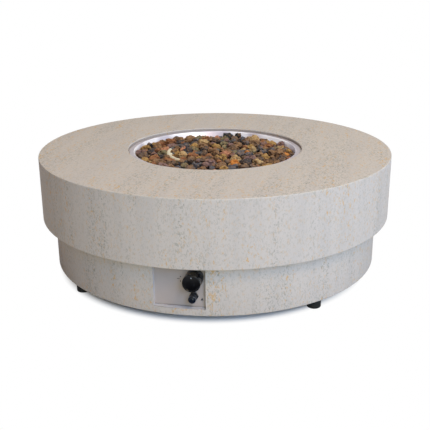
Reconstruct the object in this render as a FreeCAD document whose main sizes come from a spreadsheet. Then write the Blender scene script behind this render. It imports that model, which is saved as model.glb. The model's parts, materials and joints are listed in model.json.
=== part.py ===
"""Round gas fire pit table: a cast top and apron on a set-back cast drum, with its burner and gas controls.

Millimetres, +Z up, origin on the floor under the middle of the table. The control panel faces -Y.
"""
import FreeCAD, Part
import math
import os
import random
import re
import Sketcher

from FreeCAD import Placement, Rotation, Vector

# Driving dimensions: name, millimetres (degrees where the name says so), meaning
SIZES = (
    ("top_radius", 533.4, "outer radius of the table top"),
    ("slab_thickness", 28, "thickness of the top slab"),
    ("apron_height", 187, "top surface to the apron's lower edge"),
    ("apron_wall", 18, "wall of the apron"),
    ("top_edge_round", 2.5, "rounding of the outer top edge"),
    ("apron_edge_round", 2, "rounding of the apron's lower edge"),
    ("cast_round", 8, "inner corner between slab and apron"),
    ("opening_radius", 266.7, "radius of the fire opening at the surface"),
    ("lip_round", 3, "rounding of the opening's edge"),
    ("ledge_depth", 10.4, "surface down to the ledge that carries the pan"),
    ("ledge_width", 14.2, "width of that ledge"),
    ("collar_thickness", 40, "thickness of the slab round the opening"),
    ("collar_width", 38, "width of the thickened collar"),
    ("apron_gap", 18.9, "finger gap between apron and drum"),
    ("drum_height", 301, "height of the base drum"),
    ("drum_wall", 16, "wall of the drum"),
    ("drum_edge_round", 2, "rounding of the drum's outer edges"),
    ("rim_width", 40, "inward reach of the drum's top rim"),
    ("rim_thickness", 16, "thickness of the top rim"),
    ("flange_width", 66.5, "width of the drum's bottom flange, wall included"),
    ("flange_thickness", 18, "thickness of the bottom flange"),
    ("vent_width", 90, "width of each upper vent"),
    ("vent_height", 30, "height of each upper vent"),
    ("vent_drop", 42, "rim underside down to the top of the vents"),
    ("foot_height", 28, "height of a foot"),
    ("foot_radius", 19.5, "radius of a foot"),
    ("foot_round", 4, "rounding of a foot's lower edge"),
    ("foot_inset", 27.8, "drum's outer face to the middle of a foot"),
    ("foot_bearing", 46.3, "bearing in degrees of the first foot, counter-clockwise from +X"),
    ("foot_socket", 9.5, "radius of the recess for the bolt head"),
    ("foot_socket_depth", 12, "depth of that recess"),
    ("bolt_radius", 4, "foot bolt shank radius"),
    ("bolt_length", 27, "foot bolt length under the head"),
    ("bolt_head", 7.5, "foot bolt head radius over its corners"),
    ("bolt_head_height", 5.3, "foot bolt head height"),
    ("insert_radius", 6, "outer radius of a foot insert"),
    ("insert_length", 14, "length of a foot insert"),
    ("pad_radius", 14, "radius of a table pad"),
    ("pad_thickness", 3, "thickness of a table pad"),
    ("bracket_plate", 3, "plate thickness of a centring bracket"),
    ("bracket_width", 50, "width of a centring bracket"),
    ("bracket_leg", 38, "length of the leg under the slab"),
    ("bracket_drop", 30, "length of the leg beside the rim"),
    ("bracket_play", 1, "play between that leg and the rim"),
    ("bracket_pitch", 30, "distance between the two screws of a bracket"),
    ("set_screw_radius", 3, "bracket screw shank radius"),
    ("set_screw_length", 14, "bracket screw length under the head"),
    ("set_screw_head", 5.8, "bracket screw head radius over its corners"),
    ("set_screw_head_height", 4, "bracket screw head height"),
    ("set_insert_radius", 4.5, "outer radius of a bracket insert"),
    ("set_insert_length", 13, "length of a bracket insert"),
    ("pan_gap", 3.3, "gap between the pan's wall and the ledge"),
    ("pan_play", 4.5, "gap between the pan's flange and the opening"),
    ("sheet_thickness", 1.2, "stainless sheet of the pan and the heat shield"),
    ("pan_depth", 60, "depth of the pan inside"),
    ("pan_bend", 11, "inner bend between the pan's floor and wall"),
    ("flange_bend", 2.4, "bend from the pan's wall into its flange"),
    ("gasket_thickness", 1.5, "fibre gasket under the pan's flange"),
    ("gasket_width", 7, "width of the gasket"),
    ("drain_radius", 4, "radius of a drain hole"),
    ("drain_inset", 55, "drain holes from the pan's wall"),
    ("ring_radius", 144, "centre-line radius of the burner ring"),
    ("tube_radius", 6.35, "burner tube radius"),
    ("tube_wall", 1.2, "burner tube wall"),
    ("crossbar_radius", 5.9, "burner crossbar radius"),
    ("ring_rise", 48, "pan floor up to the burner ring"),
    ("port_radius", 1.1, "radius of a flame port"),
    ("burner_bearing", 20, "bearing in degrees of the crossbar"),
    ("hub_radius", 17, "burner hub radius"),
    ("hub_height", 18.5, "burner hub height"),
    ("thread_depth", 7, "depth that a pipe thread is screwed in"),
    ("nipple_radius", 10.6, "pipe nipple outer radius"),
    ("nipple_bore", 7.8, "pipe nipple bore radius"),
    ("locknut_corner", 17, "burner locknut radius over its corners"),
    ("locknut_height", 6, "burner locknut height"),
    ("mixer_radius", 14, "air mixer radius"),
    ("mixer_length", 40, "air mixer length"),
    ("mixer_drop", 14, "pan underside down to the top of the mixer"),
    ("mixer_window", 9, "width of an air window"),
    ("elbow_radius", 11, "orifice elbow radius"),
    ("elbow_drop", 14, "mixer's lower end down to the elbow's side port"),
    ("elbow_reach", 34, "middle of the burner to the end of the elbow's port"),
    ("orifice_radius", 1.1, "gas orifice radius"),
    ("shield_radius", 150, "heat shield radius"),
    ("shield_drop", 22, "pan underside to the heat shield"),
    ("shield_hole", 42, "radius of the hole in the middle of the heat shield"),
    ("stud_circle", 120, "circle of the shield studs"),
    ("stud_radius", 3, "shield stud radius"),
    ("spacer_radius", 6, "shield spacer radius"),
    ("stud_nut_corner", 5.8, "stud nut radius over its corners"),
    ("stud_nut_height", 5, "stud nut height"),
    ("window_half", 70, "half the width of the panel window"),
    ("window_gap", 13, "apron's lower edge down to the panel window"),
    ("window_lip", 1, "window sill above the drum's bottom flange"),
    ("panel_recess", 18.5, "drum's outer face to the front of the panel"),
    ("panel_lap", 12, "panel beyond the window on each side and above"),
    ("panel_thickness", 1.5, "control panel sheet"),
    ("panel_return", 10, "depth of the folded sides of the panel"),
    ("panel_play", 0.5, "play round the panel in its seat"),
    ("seat_depth", 24, "depth of the cut that seats the panel"),
    ("panel_screw_radius", 2, "panel screw shank radius"),
    ("panel_screw_length", 9, "panel screw length under the head"),
    ("panel_screw_head", 3.6, "panel screw head radius"),
    ("panel_screw_inset", 18, "panel screws from the panel's lower and upper edges"),
    ("control_offset", 39.8, "knob to the right of the middle"),
    ("igniter_offset", 36.4, "igniter to the right of the middle"),
    ("igniter_share", 0.55, "share of the free height under the igniter"),
    ("knob_share", 0.32, "share of the free height between the igniter and the tap"),
    ("knob_radius", 23.9, "knob radius"),
    ("knob_reach", 47, "panel to the front of the knob"),
    ("knob_shoulder", 19, "panel to the knob's shoulder"),
    ("knob_skirt", 21, "radius of the skirt inside the bezel"),
    ("knob_skirt_end", 6.5, "panel to the end of the skirt"),
    ("knob_wall", 2.5, "wall of the knob's skirt"),
    ("knob_face", 7, "thickness of the knob behind its face"),
    ("knob_boss", 6.5, "radius of the boss round the stem"),
    ("knob_boss_start", 12, "panel to the start of that boss"),
    ("knob_round", 1.8, "rounding of the knob's front edge"),
    ("knob_dish", 0.8, "depth of the dish in the knob's face"),
    ("knob_rim", 3.5, "width of the rim round that dish"),
    ("knob_travel", 3, "how far the knob is pushed in to free it"),
    ("pointer_radius", 1.6, "radius of the white pointer dot"),
    ("pointer_offset", 15.5, "knob's middle to the pointer dot"),
    ("bezel_gap", 0.6, "gap between skirt and bezel"),
    ("bezel_wall", 1.9, "wall of the bezel"),
    ("bezel_clear", 0.5, "bezel to the shoulder of the pushed knob"),
    ("valve_side", 18, "gas tap half width"),
    ("valve_up", 20, "gas tap above the stem"),
    ("valve_down", 30, "gas tap below the stem"),
    ("valve_length", 50, "gas tap depth behind the panel"),
    ("nose_radius", 9, "threaded nose of the tap"),
    ("nose_reach", 6, "nose in front of the panel"),
    ("nose_bore", 6.6, "bore of the nose"),
    ("valve_nut_corner", 13.9, "panel nut radius over its corners"),
    ("valve_nut_height", 5, "panel nut height"),
    ("rotor_radius", 10, "rotor radius"),
    ("rotor_length", 30, "rotor length"),
    ("rotor_start", 8, "panel face back to the rotor"),
    ("rotor_play", 0.06, "running clearance of the rotor and the stem"),
    ("rotor_end_play", 0.2, "end play of the rotor"),
    ("stem_radius", 3, "valve stem radius"),
    ("stem_flat", 2.1, "stem axis to its flat"),
    ("stem_engaged", 8, "length of stem inside the rotor"),
    ("stem_in_knob", 22, "length of stem inside the knob"),
    ("collar_radius", 5.8, "radius of the stem's collar"),
    ("collar_start", 1, "panel to the collar"),
    ("stem_collar_length", 2, "length of the collar"),
    ("stem_spring_radius", 4.7, "stem spring, coil radius"),
    ("stem_spring_wire", 0.45, "stem spring, wire radius"),
    ("gas_bore", 3, "radius of the gas ways"),
    ("port_boss", 8, "radius of a port boss"),
    ("port_boss_length", 3, "length of the inlet port boss"),
    ("outlet_boss_length", 10, "length of the outlet port boss"),
    ("outlet_rise", 6, "stem up to the outlet port"),
    ("probe_port_drop", 12, "stem down and left to the thermocouple port"),
    ("port_drop", 20.5, "stem down to the inlet port"),
    ("igniter_barrel", 9, "igniter barrel radius"),
    ("igniter_barrel_reach", 17, "barrel in front of the panel"),
    ("igniter_half", 15, "half width of the igniter's housing"),
    ("igniter_depth", 54, "depth of the housing behind the panel's face"),
    ("igniter_nut_corner", 12.5, "igniter nut radius over its corners"),
    ("igniter_nut_height", 6, "igniter nut height"),
    ("cap_radius", 10.2, "igniter cap radius"),
    ("cap_start", 8, "panel to the cap"),
    ("cap_reach", 27, "panel to the front of the cap"),
    ("cap_groove", 1, "depth of the grooves round the cap"),
    ("cap_rib", 2, "width of each rib and of each groove"),
    ("cap_front", 3, "front wall of the cap"),
    ("cap_round", 1, "rounding of the cap's front edge"),
    ("button_radius", 6.6, "button radius"),
    ("button_gap", 0.4, "gap between the button and the cap"),
    ("button_proud", 3.5, "button in front of the cap"),
    ("button_travel", 3, "how far the button is pushed"),
    ("button_flange", 8.5, "radius of the button's flange"),
    ("button_flange_length", 1.5, "length of that flange"),
    ("battery_radius", 7.25, "battery radius"),
    ("battery_length", 50.5, "battery length"),
    ("battery_play", 0.3, "play of the battery in the barrel"),
    ("battery_setback", 6, "barrel's mouth to the battery"),
    ("button_spring_radius", 4.6, "button spring, coil radius"),
    ("button_spring_wire", 0.5, "button spring, wire radius"),
    ("line_inset", 17, "drum's inner wall to the supply line"),
    ("port_inset", 8.5, "supply line's circle to the line of its ports"),
    ("line_bend", 150, "bend radius at each end of the supply line"),
    ("line_outer", 5, "supply line radius"),
    ("line_bore", 4, "supply line bore"),
    ("flare_nut_corner", 9.8, "flare nut radius over its corners"),
    ("flare_nut_length", 12, "flare nut length"),
    ("inlet_flange", 15.6, "inlet union hexagon radius over its corners"),
    ("inlet_flange_length", 6, "inlet union hexagon length"),
    ("inlet_thread", 7.9375, "radius of the inlet's flare thread"),
    ("inlet_thread_length", 15, "length of the inlet's flare thread"),
    ("inlet_barrel", 9.5, "radius of the inlet union through the wall"),
    ("spot_depth", 1, "depth of the flat for the inlet outside"),
    ("spot_inner", 0.5, "depth of the flat for its nut inside"),
    ("spot_radius", 19, "radius of those flats"),
    ("inlet_nut_height", 7, "inlet locknut height"),
    ("elbow_half", 11, "half width of the inlet elbow"),
    ("clip_width", 12, "width of a line clip"),
    ("clip_strap", 1.5, "strap of a line clip"),
    ("clip_screw_rise", 16, "supply line up to the clip's screw"),
    ("clip_screw_radius", 2, "clip screw shank radius"),
    ("clip_screw_length", 10, "clip screw length under the head"),
    ("clip_screw_head", 4, "clip screw head radius"),
    ("screw_head_height", 2.2, "height of the small screw heads"),
    ("feed_radius", 4, "feed tube radius"),
    ("feed_bore", 3, "feed tube bore"),
    ("feed_straight", 90, "straight run at each end of the feed tube, before its bend is rounded"),
    ("station_bearing", -62, "bearing in degrees of the electrode and thermocouple"),
    ("station_out", 28, "burner ring out to the electrode and thermocouple"),
    ("station_pitch", 8, "distance between electrode and thermocouple"),
    ("grommet_radius", 9, "radius of the lead grommet"),
    ("grommet_height", 5, "height of the lead grommet"),
    ("grommet_lip", 2, "lip of the grommet over the pan's floor"),
    ("ceramic_radius", 3.4, "electrode's ceramic radius"),
    ("ceramic_height", 33, "electrode's ceramic height"),
    ("electrode_radius", 1, "electrode wire radius"),
    ("spark_gap", 4, "electrode's tip to the burner ring"),
    ("probe_radius", 2.4, "thermocouple radius"),
    ("lead_radius", 1.6, "ignition lead radius"),
    ("probe_lead_radius", 1.5, "thermocouple lead radius"),
    ("stone_gap", 0.3, "gap between stones and what they lie on"),
    ("stone_half", 12, "half the width of a lava stone"),
    ("stone_tall", 7.6, "half the height of a lava stone"),
    ("chip_half", 8.2, "half the width of a stone that lies on the burner"),
    ("chip_tall", 4, "half the height of such a stone"),
    ("bed_gap", 1, "burner ring down to the bed of stones"),
    ("pocket_radius", 30, "clear space in the bed round the electrode"),
    ("bed_play", 0.6, "bed of stones to the pan's wall and floor bend"),
    ("fit_gap", 0.05, "clearance of threads and pressed pieces"),
)

# Sizes that follow from the driving ones
RULES = (
    ("apron_inner", "top_radius - apron_wall"),
    ("drum_radius", "apron_inner - apron_gap"),
    ("drum_inner", "drum_radius - drum_wall"),
    ("rim_inner", "drum_inner - rim_width"),
    ("flange_inner", "drum_radius - flange_width"),
    ("drum_bottom", "foot_height"),
    ("flange_top", "drum_bottom + flange_thickness"),
    ("drum_top", "drum_bottom + drum_height"),
    ("rim_underside", "drum_top - rim_thickness"),
    ("slab_underside", "drum_top + pad_thickness"),
    ("total_height", "slab_underside + slab_thickness"),
    ("apron_bottom", "total_height - apron_height"),
    ("ledge_level", "total_height - ledge_depth"),
    ("ledge_inner", "opening_radius - ledge_width"),
    ("collar_bottom", "total_height - collar_thickness"),
    ("collar_outer", "ledge_inner + collar_width"),
    ("vent_bottom", "rim_underside - vent_drop - vent_height"),
    ("foot_circle", "drum_radius - foot_inset"),
    ("pad_circle", "(rim_inner + drum_inner) / 2"),
    ("bracket_face", "sqrt(rim_inner ^ 2 - (bracket_width / 2) ^ 2) - bracket_play"),
    ("bracket_screw_circle", "bracket_face - bracket_leg / 2 - bracket_plate"),
    ("gasket_top", "ledge_level + gasket_thickness"),
    ("pan_top", "gasket_top + sheet_thickness"),
    ("pan_outer", "ledge_inner - pan_gap"),
    ("pan_radius", "pan_outer - sheet_thickness"),
    ("pan_rim", "opening_radius - pan_play"),
    ("pan_floor", "pan_top - pan_depth"),
    ("pan_underside", "pan_floor - sheet_thickness"),
    ("ring_level", "pan_floor + ring_rise"),
    ("ring_top", "ring_level + tube_radius"),
    ("hub_bottom", "ring_level - hub_height / 2"),
    ("mixer_top", "pan_underside - mixer_drop"),
    ("mixer_bottom", "mixer_top - mixer_length"),
    ("elbow_level", "mixer_bottom - elbow_drop"),
    ("shield_top", "pan_underside - shield_drop"),
    ("shield_bottom", "shield_top - sheet_thickness"),
    ("window_bottom", "flange_top + window_lip"),
    ("window_top", "apron_bottom - window_gap"),
    ("window_height", "window_top - window_bottom"),
    ("panel_setback", "drum_radius - panel_recess"),
    ("panel_half", "window_half + panel_lap"),
    ("panel_bottom", "flange_top + stone_gap"),
    ("panel_top", "window_top + panel_lap"),
    ("panel_screw_side", "window_half + panel_lap / 2"),
    ("panel_screw_low", "panel_bottom + panel_screw_inset"),
    ("panel_screw_high", "panel_top - panel_screw_inset"),
    ("control_spare", "window_top - flange_top - 2 * igniter_half - valve_down - knob_radius"),
    ("igniter_level", "flange_top + igniter_half + control_spare * igniter_share"),
    ("knob_level", "igniter_level + igniter_half + valve_down + control_spare * knob_share"),
    ("knob_cavity", "knob_skirt - knob_wall"),
    ("bezel_inner", "knob_skirt + bezel_gap"),
    ("bezel_outer", "bezel_inner + bezel_wall"),
    ("bezel_length", "knob_shoulder - knob_travel - bezel_clear"),
    ("line_level", "knob_level - port_drop"),
    ("line_radius", "drum_inner - line_inset"),
    ("port_line", "line_radius - port_inset"),
    ("bend_start", "sqrt((line_radius - line_bend) ^ 2 - (port_line - line_bend) ^ 2)"),
    ("valve_port", "control_offset + valve_side + port_boss_length"),
    ("elbow_port", "elbow_half + port_boss_length"),
    ("inlet_face", "drum_radius - spot_depth"),
    ("inlet_wall", "drum_wall - spot_depth - spot_inner"),
    ("elbow_back", "inlet_face - port_line + elbow_half"),
    ("station_circle", "ring_radius + station_out"),
    ("bed_top", "ring_level - tube_radius - bed_gap"),
    ("spring_space", "rotor_start + collar_start"),
    ("stone_reach", "sqrt(stone_half ^ 2 + stone_tall ^ 2)"),
)

# How many of each repeated piece, and where the repeats stand
FEET = ("foot_rear_right", "foot_rear_left", "foot_front_left", "foot_front_right")
PAD_COUNT = 8
BRACKET_COUNT = 4
VENT_COUNT = 4
DRAIN_COUNT = 8
STUD_COUNT = 4
PORT_COUNT = 36
CLIP_BEARINGS = (60, 30, 0, -30, -60)
BARE_ARC = (176, 240)

# Points of the two leads, as shares of the way across, back and up from the controls to the burner
IGNITION_ROUTE = ((0, 0, 0), (0, 0.14, 0), (0.06, 0.33, 0.024), (0.27, 0.51, 0.086), (0.57, 0.685, 0.197),
                  (0.84, 0.834, 0.36), (0.97, 0.946, 0.586), (1, 1, 0.812), (1, 1, 1))
SENSE_ROUTE = ((0, 0, 0), (0, 0.142, 0), (0.04, 0.319, 0.021), (0.19, 0.492, 0.08), (0.41, 0.658, 0.187),
               (0.68, 0.813, 0.365), (0.93, 0.939, 0.602), (1, 1, 0.839), (1, 1, 1))

TO_FRONT = Rotation(Vector(1, 0, 0), 90)
TO_BACK = Rotation(Vector(1, 0, 0), -90)
TO_RIGHT = Rotation(Vector(0, 1, 0), 90)
TO_LEFT = Rotation(Vector(0, 1, 0), -90)
OVER = Rotation(Vector(1, 0, 0), 180)
UPRIGHT = Rotation()

doc = FreeCAD.newDocument("FirePitTable")
sheet = doc.addObject("Spreadsheet::Sheet", "Sizes")
nodes = []


def fill_sheet():
    """Writes the driving dimensions as plain numbers and the rest as formulas, each under its own alias."""
    row = 1
    for alias, number, meaning in SIZES:
        sheet.set("A%d" % row, meaning)
        sheet.set("B%d" % row, str(number))
        sheet.setAlias("B%d" % row, alias)
        row += 1
    for alias, formula in RULES:
        sheet.set("A%d" % row, "follows from the sizes above")
        sheet.set("B%d" % row, "=" + formula)
        sheet.setAlias("B%d" % row, alias)
        row += 1
    doc.recompute()


def value(rule):
    """The number that a rule of added and subtracted sizes stands for."""
    if not isinstance(rule, str):
        return float(rule)
    total = 0.0
    sign = 1.0
    for word in rule.split():
        if word in ("+", "-"):
            sign = 1.0 if word == "+" else -1.0
        elif word[0].isdigit():
            total += sign * float(word)
        else:
            total += sign * float(getattr(sheet, word))
    return total


def tie(thing, name, rule):
    """Binds one property to a rule of sizes, so that it follows the sheet."""
    thing.setExpression(name, re.sub(r"\b([a-z]+(?:_[a-z]+)+)\b", r"Sizes.\1", str(rule)))


def placed(thing, at=(0, 0, 0), turn=UPRIGHT, about=0):
    """Turns a piece, swings it about the table's axis by some degrees, and binds its place to the sheet."""
    thing.Placement = Placement(Vector(), Rotation(Vector(0, 0, 1), about).multiply(turn))
    out, side, up = at
    if about:
        across = "(%s) * cos(%s) - (%s) * sin(%s)" % (out, about, side, about)
        side = "(%s) * sin(%s) + (%s) * cos(%s)" % (out, about, side, about)
        out = across
    for axis, rule in (("x", out), ("y", side), ("z", up)):
        if rule != 0:
            tie(thing, "Placement.Base." + axis, rule)
    return thing


def cylinder(name, radius, height, at=(0, 0, 0), turn=UPRIGHT, about=0):
    """A round bar whose lower end is centred on a point."""
    bar = doc.addObject("Part::Cylinder", name)
    tie(bar, "Radius", radius)
    tie(bar, "Height", height)
    return placed(bar, at, turn, about)


def hexagon(name, corner, height, at=(0, 0, 0), turn=UPRIGHT, about=0):
    """A six-sided bar whose lower end is centred on a point."""
    bar = doc.addObject("Part::Prism", name)
    bar.Polygon = 6
    tie(bar, "Circumradius", corner)
    tie(bar, "Height", height)
    return placed(bar, at, turn, about)


def block(name, size, at, about=0):
    """A box from its lowest corner."""
    box = doc.addObject("Part::Box", name)
    for side, rule in zip(("Length", "Width", "Height"), size):
        tie(box, side, rule)
    return placed(box, at, UPRIGHT, about)


def fused(name, pieces):
    """Several pieces as one solid."""
    whole = doc.addObject("Part::MultiFuse", name)
    whole.Shapes = pieces
    whole.Refine = True
    return whole


def grouped(name, pieces):
    """Several separate solids as one group."""
    group = doc.addObject("Part::Compound", name)
    group.Links = pieces
    return group


def cut(name, base, tools):
    """A solid less one or more others."""
    result = doc.addObject("Part::Cut", name)
    result.Base = base
    result.Tool = tools[0] if len(tools) == 1 else fused(name + "Tools", tools)
    return result


def node(name, thing):
    """Labels a finished sub-part, so that it is written out under that name."""
    thing.Label = name
    nodes.append(thing)
    return thing


def new_body(name):
    """An empty body for sketched features."""
    return doc.addObject("PartDesign::Body", name)


def outline(body, name, role, corners):
    """A closed outline of straight runs on one of the body's own planes, each corner tied to the sheet."""
    sketch = body.newObject("Sketcher::SketchObject", name)
    plane = [item for item in body.Origin.OriginFeatures if item.Role == role][0]
    sketch.AttachmentSupport = [(plane, "")]
    sketch.MapMode = "FlatFace"
    spots = [Vector(value(across), value(up), 0) for across, up in corners]
    count = len(spots)
    for index in range(count):
        sketch.addGeometry(Part.LineSegment(spots[index], spots[(index + 1) % count]))
    for index in range(count):
        sketch.addConstraint(Sketcher.Constraint("Coincident", index, 2, (index + 1) % count, 1))
    for index, (across, up) in enumerate(corners):
        for kind, rule, axis in (("DistanceX", across, -2), ("DistanceY", up, -1)):
            if value(rule) == 0:
                sketch.addConstraint(Sketcher.Constraint("PointOnObject", index, 1, axis))
                continue
            number = sketch.addConstraint(Sketcher.Constraint(kind, -1, 1, index, 1, value(rule)))
            tie(sketch, "Constraints[%d]" % number, rule)
    return sketch


def circles(body, name, role, rings):
    """A sketch of circles on one of the body's own planes: across, up and radius, each tied to the sheet."""
    sketch = body.newObject("Sketcher::SketchObject", name)
    plane = [item for item in body.Origin.OriginFeatures if item.Role == role][0]
    sketch.AttachmentSupport = [(plane, "")]
    sketch.MapMode = "FlatFace"
    for index, (across, up, radius) in enumerate(rings):
        centre = Vector(value(across), value(up), 0)
        sketch.addGeometry(Part.Circle(centre, Vector(0, 0, 1), value(radius)))
        number = sketch.addConstraint(Sketcher.Constraint("Radius", index, value(radius)))
        tie(sketch, "Constraints[%d]" % number, radius)
        for kind, rule, axis in (("DistanceX", across, -2), ("DistanceY", up, -1)):
            if value(rule) == 0:
                sketch.addConstraint(Sketcher.Constraint("PointOnObject", index, 3, axis))
                continue
            number = sketch.addConstraint(Sketcher.Constraint(kind, -1, 1, index, 3, value(rule)))
            tie(sketch, "Constraints[%d]" % number, rule)
    return sketch


def revolved(body, name, sketch):
    """Turns an outline about the body's own Z axis."""
    turned = body.newObject("PartDesign::Revolution", name)
    turned.Profile = sketch
    turned.ReferenceAxis = (sketch, ["V_Axis"])
    turned.Angle = 360
    doc.recompute()
    return turned


def turned_body(name, corners):
    """A body turned from one outline of radii and heights."""
    body = new_body(name)
    revolved(body, name + "Turned", outline(body, name + "Outline", "XZ_Plane", corners))
    return body


def padded(body, name, sketch, length, reverse=False):
    """Extrudes a sketch off its plane."""
    pad = body.newObject("PartDesign::Pad", name)
    pad.Profile = sketch
    tie(pad, "Length", length)
    pad.Reversed = reverse
    doc.recompute()
    return pad


def pocketed(body, name, sketch, reverse):
    """Cuts a sketch right through the body, and makes sure that it did cut."""
    before = body.Shape.Volume
    pocket = body.newObject("PartDesign::Pocket", name)
    pocket.Profile = sketch
    pocket.Type = "ThroughAll"
    pocket.Reversed = reverse
    doc.recompute()
    if pocket.Shape.Volume >= before:
        raise RuntimeError(name + " cuts nothing")
    return pocket


def patterned(body, name, feature, sketch, count):
    """Repeats a feature evenly about the body's own Z axis."""
    pattern = body.newObject("PartDesign::PolarPattern", name)
    pattern.Originals = [feature]
    pattern.Axis = (sketch, ["N_Axis"])
    pattern.Angle = 360
    pattern.Occurrences = count
    body.Tip = pattern
    doc.recompute()
    return pattern


def rounded(body, name, radius, spots):
    """Rounds the circular edges of a turned body that lie at the given radii and heights."""
    base = body.Tip
    names = []
    for number, edge in enumerate(base.Shape.Edges, 1):
        if not isinstance(edge.Curve, Part.Circle):
            continue
        for across, up in spots:
            same_radius = abs(edge.Curve.Radius - value(across)) < 0.01
            same_height = abs(edge.Curve.Center.z - value(up)) < 0.01
            if same_radius and same_height:
                names.append("Edge%d" % number)
    if len(names) < len(spots):
        raise RuntimeError(name + " misses an edge")
    fillet = body.newObject("PartDesign::Fillet", name)
    fillet.Base = (base, sorted(set(names)))
    tie(fillet, "Radius", radius)
    body.Tip = fillet
    doc.recompute()
    return fillet


def bent_path(points):
    """A wire of straight runs joined by tangent arcs, each as large as its two runs allow."""
    points = [Vector(*point) for point in points]
    edges = []
    radii = []
    start = points[0]
    for before, corner, after in zip(points, points[1:], points[2:]):
        back = (before - corner).normalize()
        on = (after - corner).normalize()
        half_turn = (math.pi - back.getAngle(on)) / 2
        reach = 0.45 * min((before - corner).Length, (after - corner).Length)
        radius = reach / math.tan(half_turn)
        radii.append(round(radius, 1))
        enter = corner + back * reach
        leave = corner + on * reach
        middle = corner + (back + on).normalize() * (radius / math.cos(half_turn) - radius)
        edges.append(Part.LineSegment(start, enter).toShape())
        edges.append(Part.Arc(enter, middle, leave).toShape())
        start = leave
    edges.append(Part.LineSegment(start, points[-1]).toShape())
    print("bend radii", radii)
    return Part.Wire(edges)


def swept(path, radius, bore=0.0):
    """A round bar or tube along a path."""
    first = path.OrderedEdges[0]
    start = first.valueAt(first.FirstParameter)
    along = first.tangentAt(first.FirstParameter)
    section = Part.Face(Part.Wire(Part.makeCircle(radius, start, along)))
    if bore:
        section = section.cut(Part.Face(Part.Wire(Part.makeCircle(bore, start, along)))).Faces[0]
    return path.makePipe(section)


def shaped(name, shape):
    """A piece whose shape is worked out here from the sheet's sizes."""
    piece = doc.addObject("Part::Feature", name)
    piece.Shape = shape
    piece.Placement = Placement()
    return piece


def screw_at(name, radii, lengths, at, turn, about=0, head=cylinder):
    """A headed screw: its shank starts at a point and runs along the turned axis, the head behind it."""
    shank = cylinder(name + "Shank", radii[0], lengths[0])
    cap = head(name + "Head", radii[1], lengths[1], (0, 0, "- " + lengths[1]))
    return placed(fused(name, [shank, cap]), at, turn, about)


def spring(name, coil, wire, length, turns):
    """A coil spring standing on its own origin, its coils made of short straight runs."""
    radius = value(coil)
    thickness = value(wire)
    runs = turns * 12
    points = []
    for place in range(runs + 1):
        angle = math.radians(30 * place)
        rise = thickness + (length - 2 * thickness) * place / runs
        points.append(Vector(radius * math.cos(angle), radius * math.sin(angle), rise))
    section = Part.Wire(Part.makeCircle(thickness, points[0], points[1] - points[0]))
    return shaped(name, Part.makePolygon(points).makePipeShell([section], True, False, 1))


def bearings(count, first=0.0):
    """Evenly spaced bearings, in degrees."""
    return [first + 360.0 * index / count for index in range(count)]


def make_top():
    """The cast top: slab, apron, collar and ledge, with holes for the bracket inserts."""
    body = turned_body("TopCasting", (
        ("ledge_inner", "collar_bottom"),
        ("collar_outer", "collar_bottom"),
        ("collar_outer", "slab_underside"),
        ("apron_inner", "slab_underside"),
        ("apron_inner", "apron_bottom"),
        ("top_radius", "apron_bottom"),
        ("top_radius", "total_height"),
        ("opening_radius", "total_height"),
        ("opening_radius", "ledge_level"),
        ("ledge_inner", "ledge_level"),
    ))
    rounded(body, "TopEdge", "top_edge_round", [("top_radius", "total_height")])
    rounded(body, "OpeningLip", "lip_round", [("opening_radius", "total_height")])
    rounded(body, "ApronEdge", "apron_edge_round", [("top_radius", "apron_bottom")])
    rounded(body, "CastCorner", "cast_round", [("apron_inner", "slab_underside")])
    holes = []
    for place, (bearing, side) in enumerate(bracket_screws()):
        holes.append(cylinder(
            "InsertHole%d" % place, "set_insert_radius", "set_insert_length + 1.5",
            ("bracket_screw_circle", side, "slab_underside"), UPRIGHT, bearing))
    node("tabletop", cut("Top", body, holes))


def bracket_screws():
    """Bearing and sideways offset of each bracket screw."""
    half = value("bracket_pitch") / 2
    return [(bearing, side) for bearing in bearings(BRACKET_COUNT, 45) for side in (-half, half)]


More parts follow.
